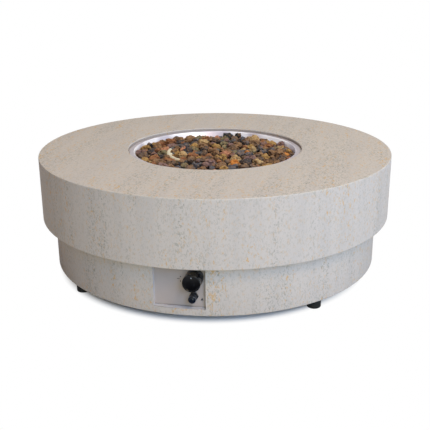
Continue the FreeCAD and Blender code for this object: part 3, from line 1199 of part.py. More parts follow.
def make_station():
    """Electrode and thermocouple on their bracket beside the burner ring, with their leads to the controls."""
    station = station_spot()
    half = value("station_pitch") / 2
    floor = value("pan_floor")
    spark = Vector(station.x + half, station.y, 0)
    probe = Vector(station.x - half, station.y, 0)

    flange = cylinder("GrommetFlange", "grommet_radius", "grommet_lip", (station.x, station.y, "pan_floor"))
    shank = cylinder("GrommetShank", "grommet_radius - grommet_lip - fit_gap", "grommet_height",
                     (station.x, station.y, "pan_floor + grommet_lip - grommet_height"))
    ways = [cylinder("GrommetWay%d" % place, "lead_radius", 20, (spot.x, spot.y, "pan_floor - 10"))
            for place, spot in enumerate((spark, probe))]
    node("lead_grommet", cut("Grommet", fused("GrommetSolid", [flange, shank]), ways))
    lead_end = value("pan_floor + grommet_lip")

    ceramic = cylinder("CeramicBar", "ceramic_radius", "ceramic_height", (spark.x, spark.y, "pan_floor + grommet_lip"))
    node("electrode_ceramic", grouped("Ceramic", [ceramic]))
    top = lead_end + value("ceramic_height")
    level = value("ring_level")
    inward = Vector(- spark.x, - spark.y, 0).normalize()
    out = math.hypot(spark.x, spark.y) - value("ring_radius + tube_radius + spark_gap")
    wire = bent_path([(spark.x, spark.y, top), (spark.x, spark.y, level),
                      tuple(Vector(spark.x, spark.y, level) + inward * out)])
    node("electrode_wire", shaped("ElectrodeWire", swept(wire, value("electrode_radius"))))
    tip = cylinder("ProbeBar", "probe_radius", "ring_rise - grommet_lip", (probe.x, probe.y, "pan_floor + grommet_lip"))
    node("thermocouple", grouped("Thermocouple", [tip]))

    plate = 1.5
    wide = 26
    stand = floor + value("ceramic_height") * 0.75
    foot = Part.makeBox(wide, 12, plate, Vector(station.x - wide / 2, station.y - 22, floor))
    back = Part.makeBox(wide, plate, stand + plate - floor, Vector(station.x - wide / 2, station.y - 10 - plate, floor))
    shelf = Part.makeBox(wide, 16, plate, Vector(station.x - wide / 2, station.y - 10, stand))
    bracket = foot.fuse([back, shelf]).removeSplitter()
    for spot, radius in ((spark, value("ceramic_radius")), (probe, value("probe_radius"))):
        bracket = bracket.cut(Part.makeCylinder(radius + value("fit_gap"), 60, Vector(spot.x, spot.y, floor)))
    bolt = value("clip_screw_radius")
    bracket = bracket.cut(Part.makeCylinder(bolt + value("fit_gap"), 20, Vector(station.x, station.y - 16, floor - 5)))
    node("electrode_bracket", shaped("ElectrodeBracket", bracket))
    bolt = screw_at("StationBolt", ("clip_screw_radius", "clip_screw_head"),
                    ("clip_screw_length", "screw_head_height"), (station.x, station.y - 16, floor + plate), OVER)
    spot = (station.x, station.y - 16, "pan_underside - 3")
    nut = hexagon("StationNutSolid", "clip_screw_head", 3, spot)
    nut_hole = cylinder("StationNutHole", "clip_screw_radius + fit_gap", 3, spot)
    node("station_fixings", grouped("StationFixings", [bolt, cut("StationNut", nut, [nut_hole])]))

    across = value("control_offset")
    drop = value("probe_port_drop")
    spark_port = Vector(value("igniter_offset"), value("igniter_depth - panel_setback"), value("igniter_level"))
    probe_port = Vector(across - drop, value("panel_thickness + valve_length - panel_setback"),
                        value("knob_level - probe_port_drop"))
    ignition = lead_path(IGNITION_ROUTE, spark_port, Vector(spark.x, spark.y, lead_end))
    node("ignition_lead", shaped("IgnitionLead", swept(ignition, value("lead_radius") - value("fit_gap"))))
    sense = lead_path(SENSE_ROUTE, probe_port, Vector(probe.x, probe.y, lead_end))
    node("thermocouple_lead", shaped("ThermocoupleLead", swept(sense, value("probe_lead_radius"))))


def lead_path(route, start, end):
    """A lead's path from the controls up to the burner, from the shares of the way across, back and up."""
    return bent_path([
        (start.x + (end.x - start.x) * across, start.y + (end.y - start.y) * back, start.z + (end.z - start.z) * up)
        for across, back, up in route])


def stone_shape(dice, half, tall, slope):
    """One faceted stone about the origin: two rings of five corners, turned against each other and tilted."""
    corner_count = 5
    rings = []
    for level, phase in ((-tall, 0.0), (tall, 0.5)):
        ring = []
        for index in range(corner_count):
            angle = 2 * math.pi * (index + phase + dice.uniform(-0.15, 0.15)) / corner_count
            reach = half * dice.uniform(0.72, 1.0)
            ring.append(Vector(reach * math.cos(angle), reach * math.sin(angle), level))
        rings.append(ring)
    tilt = Rotation(dice.uniform(0, 360), dice.uniform(-slope, slope), dice.uniform(-slope, slope))
    low, high = [[tilt.multVec(corner) for corner in ring] for ring in rings]
    faces = [Part.Face(Part.makePolygon(ring + ring[:1])) for ring in (low, high)]
    for index in range(corner_count):
        after = (index + 1) % corner_count
        for corners in ((low[index], low[after], high[index]), (high[index], high[after], low[after])):
            faces.append(Part.Face(Part.makePolygon(list(corners) + [corners[0]])))
    stone = Part.Solid(Part.Shell(faces))
    if stone.Volume < 0:
        stone.reverse()
    return stone


def make_stones():
    """The fill: a solid bed of lava under the burner ring, and a layer of loose stones on top of it."""
    bed = turned_body("BedBody", (
        (0, "pan_floor + stone_gap"),
        ("pan_radius - bed_play", "pan_floor + stone_gap"),
        ("pan_radius - bed_play", "bed_top"),
        (0, "bed_top"),
    ))
    rounded(bed, "BedBend", "pan_bend + bed_play", [("pan_radius - bed_play", "pan_floor + stone_gap")])
    station = station_spot()
    node("lava_bed", cut("Bed", bed, [
        cylinder("BedHole", "locknut_corner + 2", "pan_depth", (0, 0, "pan_floor")),
        cylinder("StationPocket", "pocket_radius", "pan_depth", (station.x, station.y - 6, "pan_floor")),
    ]))

    dice = random.Random(11)
    ring = value("ring_radius")
    reach = value("stone_reach")
    apart = max(value("tube_radius"), value("chip_half")) + reach + value("stone_gap")
    stones = []

    def lay(across, bearing, support, small):
        """Lays one stone on a surface: a flat one on the burner, a tilted one on the bed."""
        size = "chip" if small else "stone"
        stone = stone_shape(dice, value(size + "_half"), value(size + "_tall"), 0 if small else 18)
        spot = Vector(across * math.cos(math.radians(bearing)), across * math.sin(math.radians(bearing)), support)
        stone.translate(spot + Vector(0, 0, value("stone_gap") - stone.BoundBox.ZMin))
        stones.append(stone)

    pocket = station - Vector(0, 6, 0)
    inner_rows = row_radii(value("hub_radius") + reach, ring - apart, 2 * reach)
    outer_rows = row_radii(ring + apart, value("pan_radius - bed_play") - reach, 2 * reach)
    for across in inner_rows + outer_rows:
        inside = across < ring
        count = 2 * int(math.pi * across / (2 * reach + 0.3))
        first = value("burner_bearing") if inside else dice.uniform(0, 360)
        for place, bearing in enumerate(bearings(count, first)):
            over_bar = inside and place in (0, count // 2)
            turn = math.radians(bearing)
            spot = Vector(across * math.cos(turn), across * math.sin(turn), 0)
            if over_bar:
                lay(across, bearing, value("ring_level + crossbar_radius"), True)
            elif spot.distanceToPoint(pocket) > value("pocket_radius + stone_half"):
                lay(across, bearing, value("bed_top"), False)
    for bearing in bearings(int(2 * math.pi * ring / (3 * value("chip_half"))), 3):
        if not BARE_ARC[0] < bearing % 360 < BARE_ARC[1]:
            lay(ring, bearing, value("ring_top"), True)
    node("lava_stones", shaped("LavaStones", Part.Compound(stones)))


def row_radii(first, last, pitch):
    """Radii of rows of stones, spread evenly between two circles."""
    if last < first:
        return []
    gaps = int((last - first) / pitch)
    return [first + (last - first) * place / max(gaps, 1) for place in range(gaps + 1)]


def export_nodes():
    """Checks every object and every sub-part, then writes each sub-part to its own file."""
    doc.recompute()
    failed = [item.Name for item in doc.Objects if "Invalid" in item.State or "Error" in item.State]
    if failed:
        raise RuntimeError("these did not build: " + ", ".join(failed))
    for piece in nodes:
        if piece.Shape.isNull() or not piece.Shape.isValid() or not piece.Shape.Solids:
            raise RuntimeError(piece.Label + " has no valid solid")
    os.makedirs("parts", exist_ok=True)
    for piece in nodes:
        piece.Shape.exportStep(os.path.join("parts", piece.Label + ".step"))
        print("%-22s %3d solids %12.0f mm3" % (piece.Label, len(piece.Shape.Solids), piece.Shape.Volume))
    print(len(nodes), "nodes")


def main():
    """Builds the whole table."""
    fill_sheet()
    for make in (make_top, make_drum, make_feet, make_top_seat, make_pan, make_burner, make_shield, make_panel,
                 make_knob, make_tap, make_igniter, make_supply, make_clips, make_feed, make_station, make_stones):
        make()
    export_nodes()


main()
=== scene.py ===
"""Dresses a round gas fire pit table: cast travertine-look stone, a stainless burner pan full of lava rock,
and a recessed panel with a gas knob and a push igniter. Metres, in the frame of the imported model."""
from __future__ import annotations

import json
import logging
import math
import random
from dataclasses import dataclass, field
from enum import Enum
from typing import Any, Sequence

import bmesh
import bpy
from mathutils import Matrix, Vector

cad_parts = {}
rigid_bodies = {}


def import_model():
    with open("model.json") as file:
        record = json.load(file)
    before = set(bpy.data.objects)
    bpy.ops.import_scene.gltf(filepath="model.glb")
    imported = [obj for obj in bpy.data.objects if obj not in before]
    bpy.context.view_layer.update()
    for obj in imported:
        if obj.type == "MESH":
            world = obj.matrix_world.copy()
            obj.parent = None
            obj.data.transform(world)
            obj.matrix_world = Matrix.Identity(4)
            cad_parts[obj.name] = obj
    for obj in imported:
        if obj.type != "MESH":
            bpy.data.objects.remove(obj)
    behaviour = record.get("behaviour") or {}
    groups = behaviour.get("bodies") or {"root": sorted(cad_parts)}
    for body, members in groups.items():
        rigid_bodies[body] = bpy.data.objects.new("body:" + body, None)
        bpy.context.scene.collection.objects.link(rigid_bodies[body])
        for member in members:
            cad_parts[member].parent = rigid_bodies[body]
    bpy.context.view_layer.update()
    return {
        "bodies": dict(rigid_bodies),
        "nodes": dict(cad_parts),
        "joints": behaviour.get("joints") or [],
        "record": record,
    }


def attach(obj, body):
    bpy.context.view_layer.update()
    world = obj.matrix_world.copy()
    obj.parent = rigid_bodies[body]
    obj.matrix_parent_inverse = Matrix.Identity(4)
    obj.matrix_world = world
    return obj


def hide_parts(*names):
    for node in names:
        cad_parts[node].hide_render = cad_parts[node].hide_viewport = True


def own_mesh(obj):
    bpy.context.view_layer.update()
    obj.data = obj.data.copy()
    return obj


LOG = logging.getLogger("fire_pit_table")
MM = 0.001
BODY = "table"
Colour = tuple[float, float, float]
Spot = tuple[float, float, float]
Pair = tuple[float, float]


def shade(*levels: int) -> Colour:
    """Turns a screen's red, green and blue, each from 0 to 255, into the linear light that a shader takes."""
    parts = (level / 255.0 for level in levels)
    return tuple(part / 12.92 if part <= 0.04045 else ((part + 0.055) / 1.055) ** 2.4 for part in parts)


def toned(colour: Colour, share: float) -> Colour:
    """A colour with a share of its light, darker below 1 and lighter above it."""
    return tuple(level * share for level in colour)


def at_bearing(across: float, bearing: float) -> Vector:
    """The level point at a distance from the middle, at a bearing in degrees counter-clockwise from +X."""
    angle = math.radians(bearing)
    return Vector((across * math.cos(angle), across * math.sin(angle), 0.0))


def in_scene(name: str, data: Any) -> bpy.types.Object:
    """Puts a mesh, a lamp or a camera into the scene.

    Args:
        name: The object's name.
        data: What it shows.

    Returns:
        The object.
    """
    made = bpy.data.objects.new(name, data)
    bpy.context.scene.collection.objects.link(made)
    return made


def flat_piece(name: str, corners: Sequence[Spot], faces: Sequence[Sequence[int]],
               material: bpy.types.Material) -> bpy.types.Object:
    """Makes a piece with flat faces.

    Args:
        name: The piece's name.
        corners: Points in metres.
        faces: Corner numbers of each face.
        material: The piece's finish.

    Returns:
        The piece.
    """
    mesh = bpy.data.meshes.new(name)
    mesh.from_pydata(corners, [], faces)
    mesh.materials.append(material)
    mesh.polygons.foreach_set("use_smooth", [False] * len(mesh.polygons))
    mesh.update()
    return in_scene(name, mesh)


class StoneTint(Enum):
    """The colours that lava rock comes in, each with its number of lots in the draw for a loose stone's colour."""

    BROWN = (shade(128, 94, 64), 32)
    UMBER = (shade(98, 77, 62), 18)
    RUST = (shade(144, 90, 54), 16)
    AMBER = (shade(206, 124, 50), 0)
    OCHRE = (shade(162, 122, 66), 14)
    SAND = (shade(184, 148, 100), 7)
    SALMON = (shade(190, 126, 94), 3)
    PLUM = (shade(124, 94, 88), 16)
    SLATE = (shade(86, 83, 86), 8)
    OLIVE = (shade(116, 104, 74), 10)
    CHARCOAL = (shade(50, 44, 45), 8)
    COAL = (shade(20, 24, 30), 2)

    def __init__(self, colour: Colour, lots: int) -> None:
        """Holds the colour and its number of lots."""
        self.colour = colour
        self.lots = lots


class Flow:
    """A value on its way through a tree of nodes. Adding, multiplying and comparing it adds the nodes for that."""

    def __init__(self, loom: Loom, socket: bpy.types.NodeSocket) -> None:
        """Holds the socket that carries the value."""
        self.loom = loom
        self.socket = socket

    def _maths(self, operation: str, *values: Any) -> Flow:
        """Joins one or two flows or numbers with a Math node."""
        return self.loom.add("ShaderNodeMath", {"operation": operation}, dict(enumerate(values)))

    def __add__(self, other: Any) -> Flow:
        """This value plus another."""
        return self._maths("ADD", self, other)

    def __radd__(self, other: Any) -> Flow:
        """Another value plus this one."""
        return self._maths("ADD", other, self)

    def __sub__(self, other: Any) -> Flow:
        """This value less another."""
        return self._maths("SUBTRACT", self, other)

    def __rsub__(self, other: Any) -> Flow:
        """Another value less this one."""
        return self._maths("SUBTRACT", other, self)

    def __mul__(self, other: Any) -> Flow:
        """This value times another."""
        return self._maths("MULTIPLY", self, other)

    def __rmul__(self, other: Any) -> Flow:
        """Another value times this one."""
        return self._maths("MULTIPLY", other, self)

    def __truediv__(self, other: Any) -> Flow:
        """This value divided by another."""
        return self._maths("DIVIDE", self, other)

    def __pow__(self, other: Any) -> Flow:
        """This value to a power."""
        return self._maths("POWER", self, other)

    def size(self) -> Flow:
        """This value without its sign."""
        return self._maths("ABSOLUTE", self)

    def most(self, other: Flow) -> Flow:
        """The greater of this value and another."""
        return self._maths("MAXIMUM", self, other)

    def above(self, low: float, high: float) -> Flow:
        """Rises smoothly from 0 at one level to 1 at another."""
        settings = {"interpolation_type": "SMOOTHSTEP"}
        return self.loom.add("ShaderNodeMapRange", settings, {"Value": self, "From Min": low, "From Max": high})

    def below(self, low: float, high: float) -> Flow:
        """Falls smoothly from 1 at one level to 0 at another."""
        return 1.0 - self.above(low, high)


class Loom:
    """A tree of nodes while it is laid out."""

    def __init__(self, tree: bpy.types.NodeTree, last: str) -> None:
        """Empties the tree and adds its last node.

        Args:
            tree: The tree.
            last: The last node's type.
        """
        self.tree = tree
        tree.nodes.clear()
        self.last = tree.nodes.new(last)

    def add(self, kind: str, settings: dict[str, Any], sockets: dict[Any, Any], output: Any = 0) -> Flow:
        """Adds one node.

        Args:
            kind: The node's type.
            settings: Its settings, set first.
            sockets: Values or flows for its inputs, by name or number.
            output: Name or number of the output that is wanted.

        Returns:
            That output as a flow.
        """
        node = self.tree.nodes.new(kind)
        for name, setting in settings.items():
            setattr(node, name, setting)
        for name, given in sockets.items():
            self.feed(node.inputs[name], given)
        return Flow(self, node.outputs[output])

    def feed(self, socket: bpy.types.NodeSocket, given: Any) -> None:
        """Gives a socket a link or a value.

        Args:
            socket: The input.
            given: A flow, or a value of the socket's own kind.
        """
        if isinstance(given, Flow):
            self.tree.links.new(given.socket, socket)
        else:
            socket.default_value = (*given, 1.0) if socket.type == "RGBA" else given

    def close(self, result: Flow) -> None:
        """Feeds the tree's last node."""
        self.feed(self.last.inputs[0], result)

    def ray(self, name: str) -> Flow:
        """Whether light takes a certain way, such as straight to the camera."""
        return self.add("ShaderNodeLightPath", {}, {}, name)

    def mixed(self, share: Flow, first: Flow, second: Flow) -> Flow:
        """Mixes two shaders by the share of the second."""
        return self.add("ShaderNodeMixShader", {}, {0: share, 1: first, 2: second})


class Weave(Loom):
    """A material while its nodes are laid out."""

    def __init__(self, name: str) -> None:
        """Starts a material that holds one Principled shader.

        Args:
            name: The material's name.
        """
        self.material = bpy.data.materials.new(name)
        self.material.use_nodes = True
        super().__init__(self.material.node_tree, "ShaderNodeOutputMaterial")
        self.surface = self.add("ShaderNodeBsdfPrincipled", {}, {})
        self.close(self.surface)

    def place(self, name: str = "Object") -> Flow:
        """The point on the piece, or its normal, in the piece's own space."""
        return self.add("ShaderNodeTexCoord", {}, {}, name)

    def attribute(self, name: str, output: str = "Fac") -> Flow:
        """A value or a colour that the piece's mesh brings with it."""
        return self.add("ShaderNodeAttribute", {"attribute_name": name}, {}, output)

    def axes(self, where: Flow) -> list[Flow]:
        """A vector's parts along X, Y and Z."""
        parts = self.add("ShaderNodeSeparateXYZ", {}, {0: where})
        return [Flow(self, socket) for socket in parts.socket.node.outputs]

    def vector(self, operation: str, first: Flow, second: Any = (0.0, 0.0, 0.0), output: Any = 0) -> Flow:
        """Joins one or two vectors with a Vector Math node."""
        return self.add("ShaderNodeVectorMath", {"operation": operation}, {0: first, 1: second}, output)

    def around(self, where: Flow) -> tuple[Flow, Flow]:
        """A place's distance from the table's upright middle line, and the level direction from there to it."""
        flat = self.vector("MULTIPLY", where, (1.0, 1.0, 0.0))
        return self.vector("LENGTH", flat, output="Value"), self.vector("NORMALIZE", flat)

    def towards(self, way: Flow, bearing: float) -> Flow:
        """How well a level direction agrees with a bearing, as the cosine of the angle between them."""
        return self.vector("DOT_PRODUCT", way, at_bearing(1.0, bearing), "Value")

    def noise(self, where: Flow, scale: float, detail: float = 2.0, rough: float = 0.5, warp: float = 0.0) -> Flow:
        """Cloudy noise from 0 to 1, by its waves per metre, its octaves, their strength and how far it folds."""
        sockets = {"Vector": where, "Scale": scale, "Detail": detail, "Roughness": rough, "Distortion": warp}
        return self.add("ShaderNodeTexNoise", {}, sockets)

    def cells(self, where: Flow, scale: float) -> Flow:
        """Cellular noise: the distance to the nearest of the cells' middles."""
        return self.add("ShaderNodeTexVoronoi", {}, {"Vector": where, "Scale": scale}, "Distance")

    def stretched(self, where: Flow, scale: Spot) -> Flow:
        """A place for a pattern that is that much denser along each axis."""
        return self.add("ShaderNodeMapping", {}, {"Vector": where, "Scale": scale})

    def blend(self, mask: Any, low: Any, high: Any, kind: str = "MIX") -> Flow:
        """Blends two colours or flows. The mask is the share of the second."""
        settings = {"data_type": "RGBA", "blend_type": kind}
        return self.add("ShaderNodeMix", settings, {0: mask, 6: low, 7: high}, 2)

    def bump(self, height: Flow, strength: float, distance: float) -> Flow:
        """The surface's normal, roughened by a height from 0 to 1. The distance is the height of 1 in metres."""
        return self.add("ShaderNodeBump", {}, {"Strength": strength, "Distance": distance, "Height": height})

    def finish(self, **sockets: Any) -> bpy.types.Material:
        """Feeds the shader.

        Args:
            **sockets: Values or flows by the shader's input names, with _ for a space.

        Returns:
            The finished material.
        """
        for name, given in sockets.items():
            self.feed(self.surface.socket.node.inputs[name.replace("_", " ")], given)
        return self.material


@dataclass(frozen=True)
class Clouds:
    """Where a cloudy noise shows: its waves per metre, the levels between which it rises, its octaves and folds."""

    waves: float
    low: float
    high: float
    detail: float = 2.0
    rough: float = 0.6
    warp: float = 0.0

    def over(self, weave: Weave, spot: Flow) -> Flow:
        """The mask of these clouds at a place."""
        return weave.noise(spot, self.waves, self.detail, self.rough, self.warp).above(self.low, self.high)


@dataclass(frozen=True)
class Print:
    """How the print lies on one side of the stone: how streaks and flecks are drawn out, its ground and strength."""

    streak: Spot
    fleck: Spot
    base: Colour
    cool: Colour
    strength: float


class Grain(Enum):
    """Which way the stone's streaks run."""

    # Painted light: the top's ground is a little warmer than the sides', for the warm light that falls on the top
    UPRIGHT = Print((1.0, 1.0, 0.1), (1.0, 1.0, 0.5), shade(204, 194, 187), shade(198, 189, 183), 1.0)
    ACROSS_TOP = Print((1.0, 0.13, 1.0), (1.0, 0.45, 1.0), shade(203, 191, 180), shade(198, 187, 178), 1.1)


@dataclass(frozen=True)
class Fleck:
    """One kind of fleck: where it shows, its colour, and its strength anywhere and on top of that in the streaks."""

    clouds: Clouds
    tint: Colour
    anywhere: float
    in_streaks: float


@dataclass(frozen=True)
class CastStone:
    """Cast stone with a travertine print: fine specks and crooked lines, thick in some streaks, with ochre chains."""

    name: str = "cast_stone"
    cool_patches: Clouds = Clouds(24.0, 0.35, 0.7, 3.0, 0.5)
    streaks: Clouds = Clouds(15.0, 0.45, 0.64, 3.0, 0.6, 0.3)
    veins: Clouds = Clouds(21.0, 0.46, 0.62, 3.0, 0.6, 0.3)
    chains: Clouds = Clouds(46.0, 0.66, 0.72, 2.0, 0.5, 0.2)
    broken: Clouds = Clouds(130.0, 0.46, 0.54)
    line_waves: float = 118.0
    line_width: float = 0.045
    line_strength: Pair = (0.2, 0.6)
    grey: Colour = shade(150, 145, 132)
    flecks: tuple[Fleck, ...] = (
        Fleck(Clouds(215.0, 0.58, 0.65), grey, 0.26, 0.2),
        Fleck(Clouds(235.0, 0.65, 0.71), shade(126, 115, 102), 0.3, 0.24))
    ochre: Colour = shade(206, 164, 100)
    ochre_waves: float = 165.0
    ochre_core: Pair = (0.57, 0.63)
    ochre_edge: Pair = (0.5, 0.58)
    ochre_strength: Pair = (0.26, 0.5)
    chain_strength: float = 0.6
    # Painted highlight on the rounded outer rim and on the lip of the opening
    edge_highlight: Colour = shade(232, 228, 220)
    rim_highlight: float = 0.12
    lip_highlight: float = 0.5
    # Painted shade on the opening's inner wall and ledge
    opening_wall_shade: Colour = shade(146, 132, 128)
    opening_shade_strength: float = 0.4
    # Painted light on the jambs and sill of the panel's window in the drum
    window_wall_light: Colour = shade(226, 228, 234)
    window_light_strength: float = 0.7
    top_radius: float = 0.5334
    opening_radius: float = 0.2667
    drum_radius: float = 0.4965
    window_front: float = 0.4
    window_top: float = 0.18
    top_level: float = 0.36
    edge_width: float = 0.004

    def _lines(self, weave: Weave, spot: Flow) -> Flow:
        """Short crooked lines, from the contours of a noise."""
        off = (weave.noise(spot, self.line_waves, 2.0, 0.6, 0.6) - 0.5).size()
        return off.below(self.line_width * 0.4, self.line_width)

    def _pattern(self, weave: Weave, grain: Grain) -> Flow:
        """The print for one direction of the grain.

        Args:
            weave: The material being made.
            grain: Which way its streaks run.

        Returns:
            The colour of the print.
        """
        laid = grain.value
        spot = weave.place()
        drawn = weave.stretched(spot, laid.streak)
        speck = weave.stretched(spot, laid.fleck)
        streaks, veins, chains = (clouds.over(weave, drawn) for clouds in (self.streaks, self.veins, self.chains))
        colour = weave.blend(self.cool_patches.over(weave, drawn), laid.base, laid.cool)
        lines = self._lines(weave, speck) * self.broken.over(weave, spot)
        anywhere, in_streaks = (laid.strength * share for share in self.line_strength)
        colour = weave.blend(lines * (anywhere + in_streaks * streaks), colour, self.grey)
        for fleck in self.flecks:
            strength = laid.strength * fleck.anywhere + laid.strength * fleck.in_streaks * streaks
            colour = weave.blend(fleck.clouds.over(weave, speck) * strength, colour, fleck.tint)
        ochre = weave.noise(speck, self.ochre_waves, 3.0, 0.65, 0.4)
        anywhere, in_veins = self.ochre_strength
        cores = ochre.above(*self.ochre_core) * (anywhere * laid.strength + in_veins * veins)
        edges = ochre.above(*self.ochre_edge) * (self.chain_strength * laid.strength * chains)
        return weave.blend(edges, weave.blend(cores, colour, self.ochre), self.ochre)

    def material(self) -> bpy.types.Material:
        """Makes the material, with streaks that stand on the sides and run back to front on top.

        Returns:
            The material.
        """
        weave = Weave(self.name)
        spot = weave.place()
        facing = weave.axes(weave.place("Normal"))[2]
        _, north, up = weave.axes(spot)
        across, _ = weave.around(spot)
        side, top = (self._pattern(weave, grain) for grain in (Grain.UPRIGHT, Grain.ACROSS_TOP))
        bevel = 0.3 * self.edge_width
        high = up.above(self.top_level - self.edge_width, self.top_level - bevel)
        colour = weave.blend(facing.above(0.6, 0.8) * high, side, top)
        # Painted highlight: the rounded outer rim and the opening's lip are lightened as if they caught the light
        rim = across.above(self.top_radius - self.edge_width, self.top_radius - bevel)
        lip = across.below(self.opening_radius, self.opening_radius + bevel)
        colour = weave.blend((self.rim_highlight * rim + self.lip_highlight * lip) * high, colour, self.edge_highlight)
        # Painted shade: the opening's inner wall and ledge, below the top, are darkened
        inside = across.below(self.opening_radius, self.opening_radius + 0.5 * MM)
        colour = weave.blend(inside * (1.0 - high) * self.opening_shade_strength, colour, self.opening_wall_shade)
        # Painted light: the jambs and sill of the panel's window are lightened with a pale bluish white
        sunk = across.below(self.drum_radius - 2 * MM, self.drum_radius - MM)
        low = up.below(self.window_top, self.window_top + 2 * MM)
        front = (-1.0 * north).above(self.window_front, self.window_front + 10 * MM)
        colour = weave.blend(self.window_light_strength * sunk * low * front, colour, self.window_wall_light)
        pores = weave.noise(spot, 520.0, 3.0, 0.7)
        rough = 0.62 + 0.14 * weave.noise(spot, 60.0, 2.0)
        return weave.finish(Base_Color=colour, Roughness=rough, Normal=weave.bump(pores, 0.12, 0.6 * MM))


@dataclass(frozen=True)
class Metal:
    """A metal with a fine speckle and duller patches."""

    name: str
    base: Colour
    rough: float = 0.3
    grain: float = 400.0
    depth: float = 0.02 * MM
    dull_patches: Clouds = Clouds(18.0, 0.35, 0.75, 3.0, 0.5)

    def material(self) -> bpy.types.Material:
        """Makes the material.

        Returns:
            The material.
        """
        weave = Weave(self.name)
        spot = weave.place()
        fine = weave.noise(spot, self.grain, 2.0, 0.6)
        colour = weave.blend(self.dull_patches.over(weave, spot), self.base, toned(self.base, 0.82))
        return weave.finish(Base_Color=colour, Metallic=1.0, Roughness=self.rough - 0.05 + 0.12 * fine,
                            Normal=weave.bump(fine, 0.15, self.depth))


@dataclass(frozen=True)
class RolledSheet:
    """Bright rolled stainless sheet: a dull flange, and a wall with broad soft highlights painted into its colour, and
    fine scratches.
    """

    name: str
    flange: Colour
    bright: Colour
    dull: Colour
    wall_radius: float = 0.2485
    metallic: float = 0.35
    rough: float = 0.36
    tilt: float = 0.55
    glint_strength: float = 0.85
    glints: tuple[Pair, ...] = ((126.0, 11.0), (82.0, 7.0), (46.0, 16.0), (160.0, 9.0), (200.0, 20.0))

    def material(self) -> bpy.types.Material:
        """Makes the material. The wall's normals lean up, as those of a wall that flares towards its rim do.

        Returns:
            The material.
        """
        weave = Weave(self.name)
        spot = weave.place()
        across, way = weave.around(spot)
        wall = across.below(self.wall_radius, self.wall_radius + 3 * MM)
        # Painted highlights: the wall's colour turns bright at the glints' bearings, over a faint random tone
        tone_and_painted_glints = 0.3 * weave.noise(weave.stretched(spot, (1.0, 1.0, 0.1)), 9.0, 1.0)
        for bearing, spread in self.glints:
            far, near = (math.cos(math.radians(share * spread)) for share in (1.4, 0.6))
            tone_and_painted_glints = tone_and_painted_glints + self.glint_strength * weave.towards(way, bearing).above(far, near)
        colour = weave.blend(wall, self.flange, weave.blend(tone_and_painted_glints, self.dull, self.bright))
        scratches = weave.noise(weave.stretched(spot, (60.0, 60.0, 900.0)), 1.0, 2.0, 0.6)
        lift = weave.add("ShaderNodeCombineXYZ", {}, {"Z": wall * self.tilt})
        leaning = weave.vector("ADD", weave.bump(scratches, 0.1, 0.02 * MM), lift)
        rough = self.rough - 0.04 + 0.1 * scratches
        normal = weave.vector("NORMALIZE", leaning)
        return weave.finish(Base_Color=colour, Metallic=self.metallic, Roughness=rough, Normal=normal)


@dataclass(frozen=True)
class BurnerTube:
    """Stainless tube that heat has turned straw-coloured, and dark where the rocks lie on it."""

    name: str
    clean: Colour
    dark_tone: Colour
    bare_from: float
    bare_to: float
    bar_reach: float = 0.132
    mottle: Clouds = Clouds(60.0, 0.4, 0.7, 3.0, 0.5)

    def material(self) -> bpy.types.Material:
        """Makes the material, clean between two bearings on the ring itself.

        Returns:
            The material.
        """
        weave = Weave(self.name)
        spot = weave.place()
        across, way = weave.around(spot)
        edge = math.cos(math.radians((self.bare_to - self.bare_from) / 2))
        ragged = weave.towards(way, (self.bare_from + self.bare_to) / 2) + 0.02 * weave.noise(spot, 90.0, 2.0)
        bare = ragged.above(edge, edge + 0.03) * across.above(self.bar_reach, self.bar_reach + 3 * MM)
        # Dark all over but for the bare stretch of the ring, which keeps its straw colour
        clean = weave.blend(self.mottle.over(weave, spot) * 0.4, self.clean, toned(self.clean, 0.8))
        return weave.finish(Base_Color=weave.blend(bare, self.dark_tone, clean), Roughness=0.5)


@dataclass(frozen=True)
class Moulded:
    """Moulded plastic, rubber, paint or ceramic: one colour with a fine grain and worn patches."""

    name: str
    base: Colour
    rough: float = 0.45
    grain: float = 900.0
    depth: float = 0.05 * MM
    shine: float = 0.5

    def material(self) -> bpy.types.Material:
        """Makes the material.

        Returns:
            The material.
        """
        weave = Weave(self.name)
        fine = weave.noise(weave.place(), self.grain, 2.0, 0.6)
        wear = weave.noise(weave.place(), 45.0, 3.0)
        worn = tuple(min(1.0, 1.25 * level + 0.004) for level in self.base)
        return weave.finish(Base_Color=weave.blend(wear.above(0.5, 0.8) * 0.5, self.base, worn),
                            Roughness=self.rough - 0.04 + 0.1 * wear, Specular_IOR_Level=self.shine,
                            Normal=weave.bump(fine, 0.2, self.depth))


@dataclass(frozen=True)
class PanelPaint:
    """Matt paint on the control panel, paler low down, with painted shadow along the joints where it meets the stone
    round it.
    """

    name: str
    base: Colour
    joint: Colour
    right_joint: float = 0.0658
    left_joint: float = -0.0735
    low_joint: float = 0.0492
    joint_width: float = 1.5 * MM
    right_strength: float = 0.85
    left_strength: float = 0.6
    low_strength: float = 0.5
    shaded_from: float = 0.07
    shaded_to: float = 0.15

    def material(self) -> bpy.types.Material:
        """Makes the material.

        Returns:
            The material.
        """
        weave = Weave(self.name)
        east, _, up = weave.axes(weave.place())
        fine = weave.noise(weave.place(), 600.0, 2.0, 0.6)
        wear = weave.noise(weave.place(), 45.0, 3.0)
        # Painted shade: the paint is darker high up, in the apron's shade, and paler low down; random wear is mixed in
        pale = up.below(self.shaded_from, self.shaded_to) * 0.6 + 0.3 * wear
        colour = weave.blend(pale, self.base, toned(self.base, 1.3))
        # Painted shadow: dark lines at the panel's right, left and lower edges, where it meets the stone
        right = east.above(self.right_joint, self.right_joint + self.joint_width)
        left = east.below(self.left_joint - self.joint_width, self.left_joint)
        low = up.below(self.low_joint - 0.8 * self.joint_width, self.low_joint)
        joints = right * self.right_strength + left * self.left_strength + low * self.low_strength
        colour = weave.blend(joints, colour, self.joint)
        return weave.finish(Base_Color=colour, Roughness=0.5 + 0.1 * wear, Normal=weave.bump(fine, 0.2, 0.06 * MM))


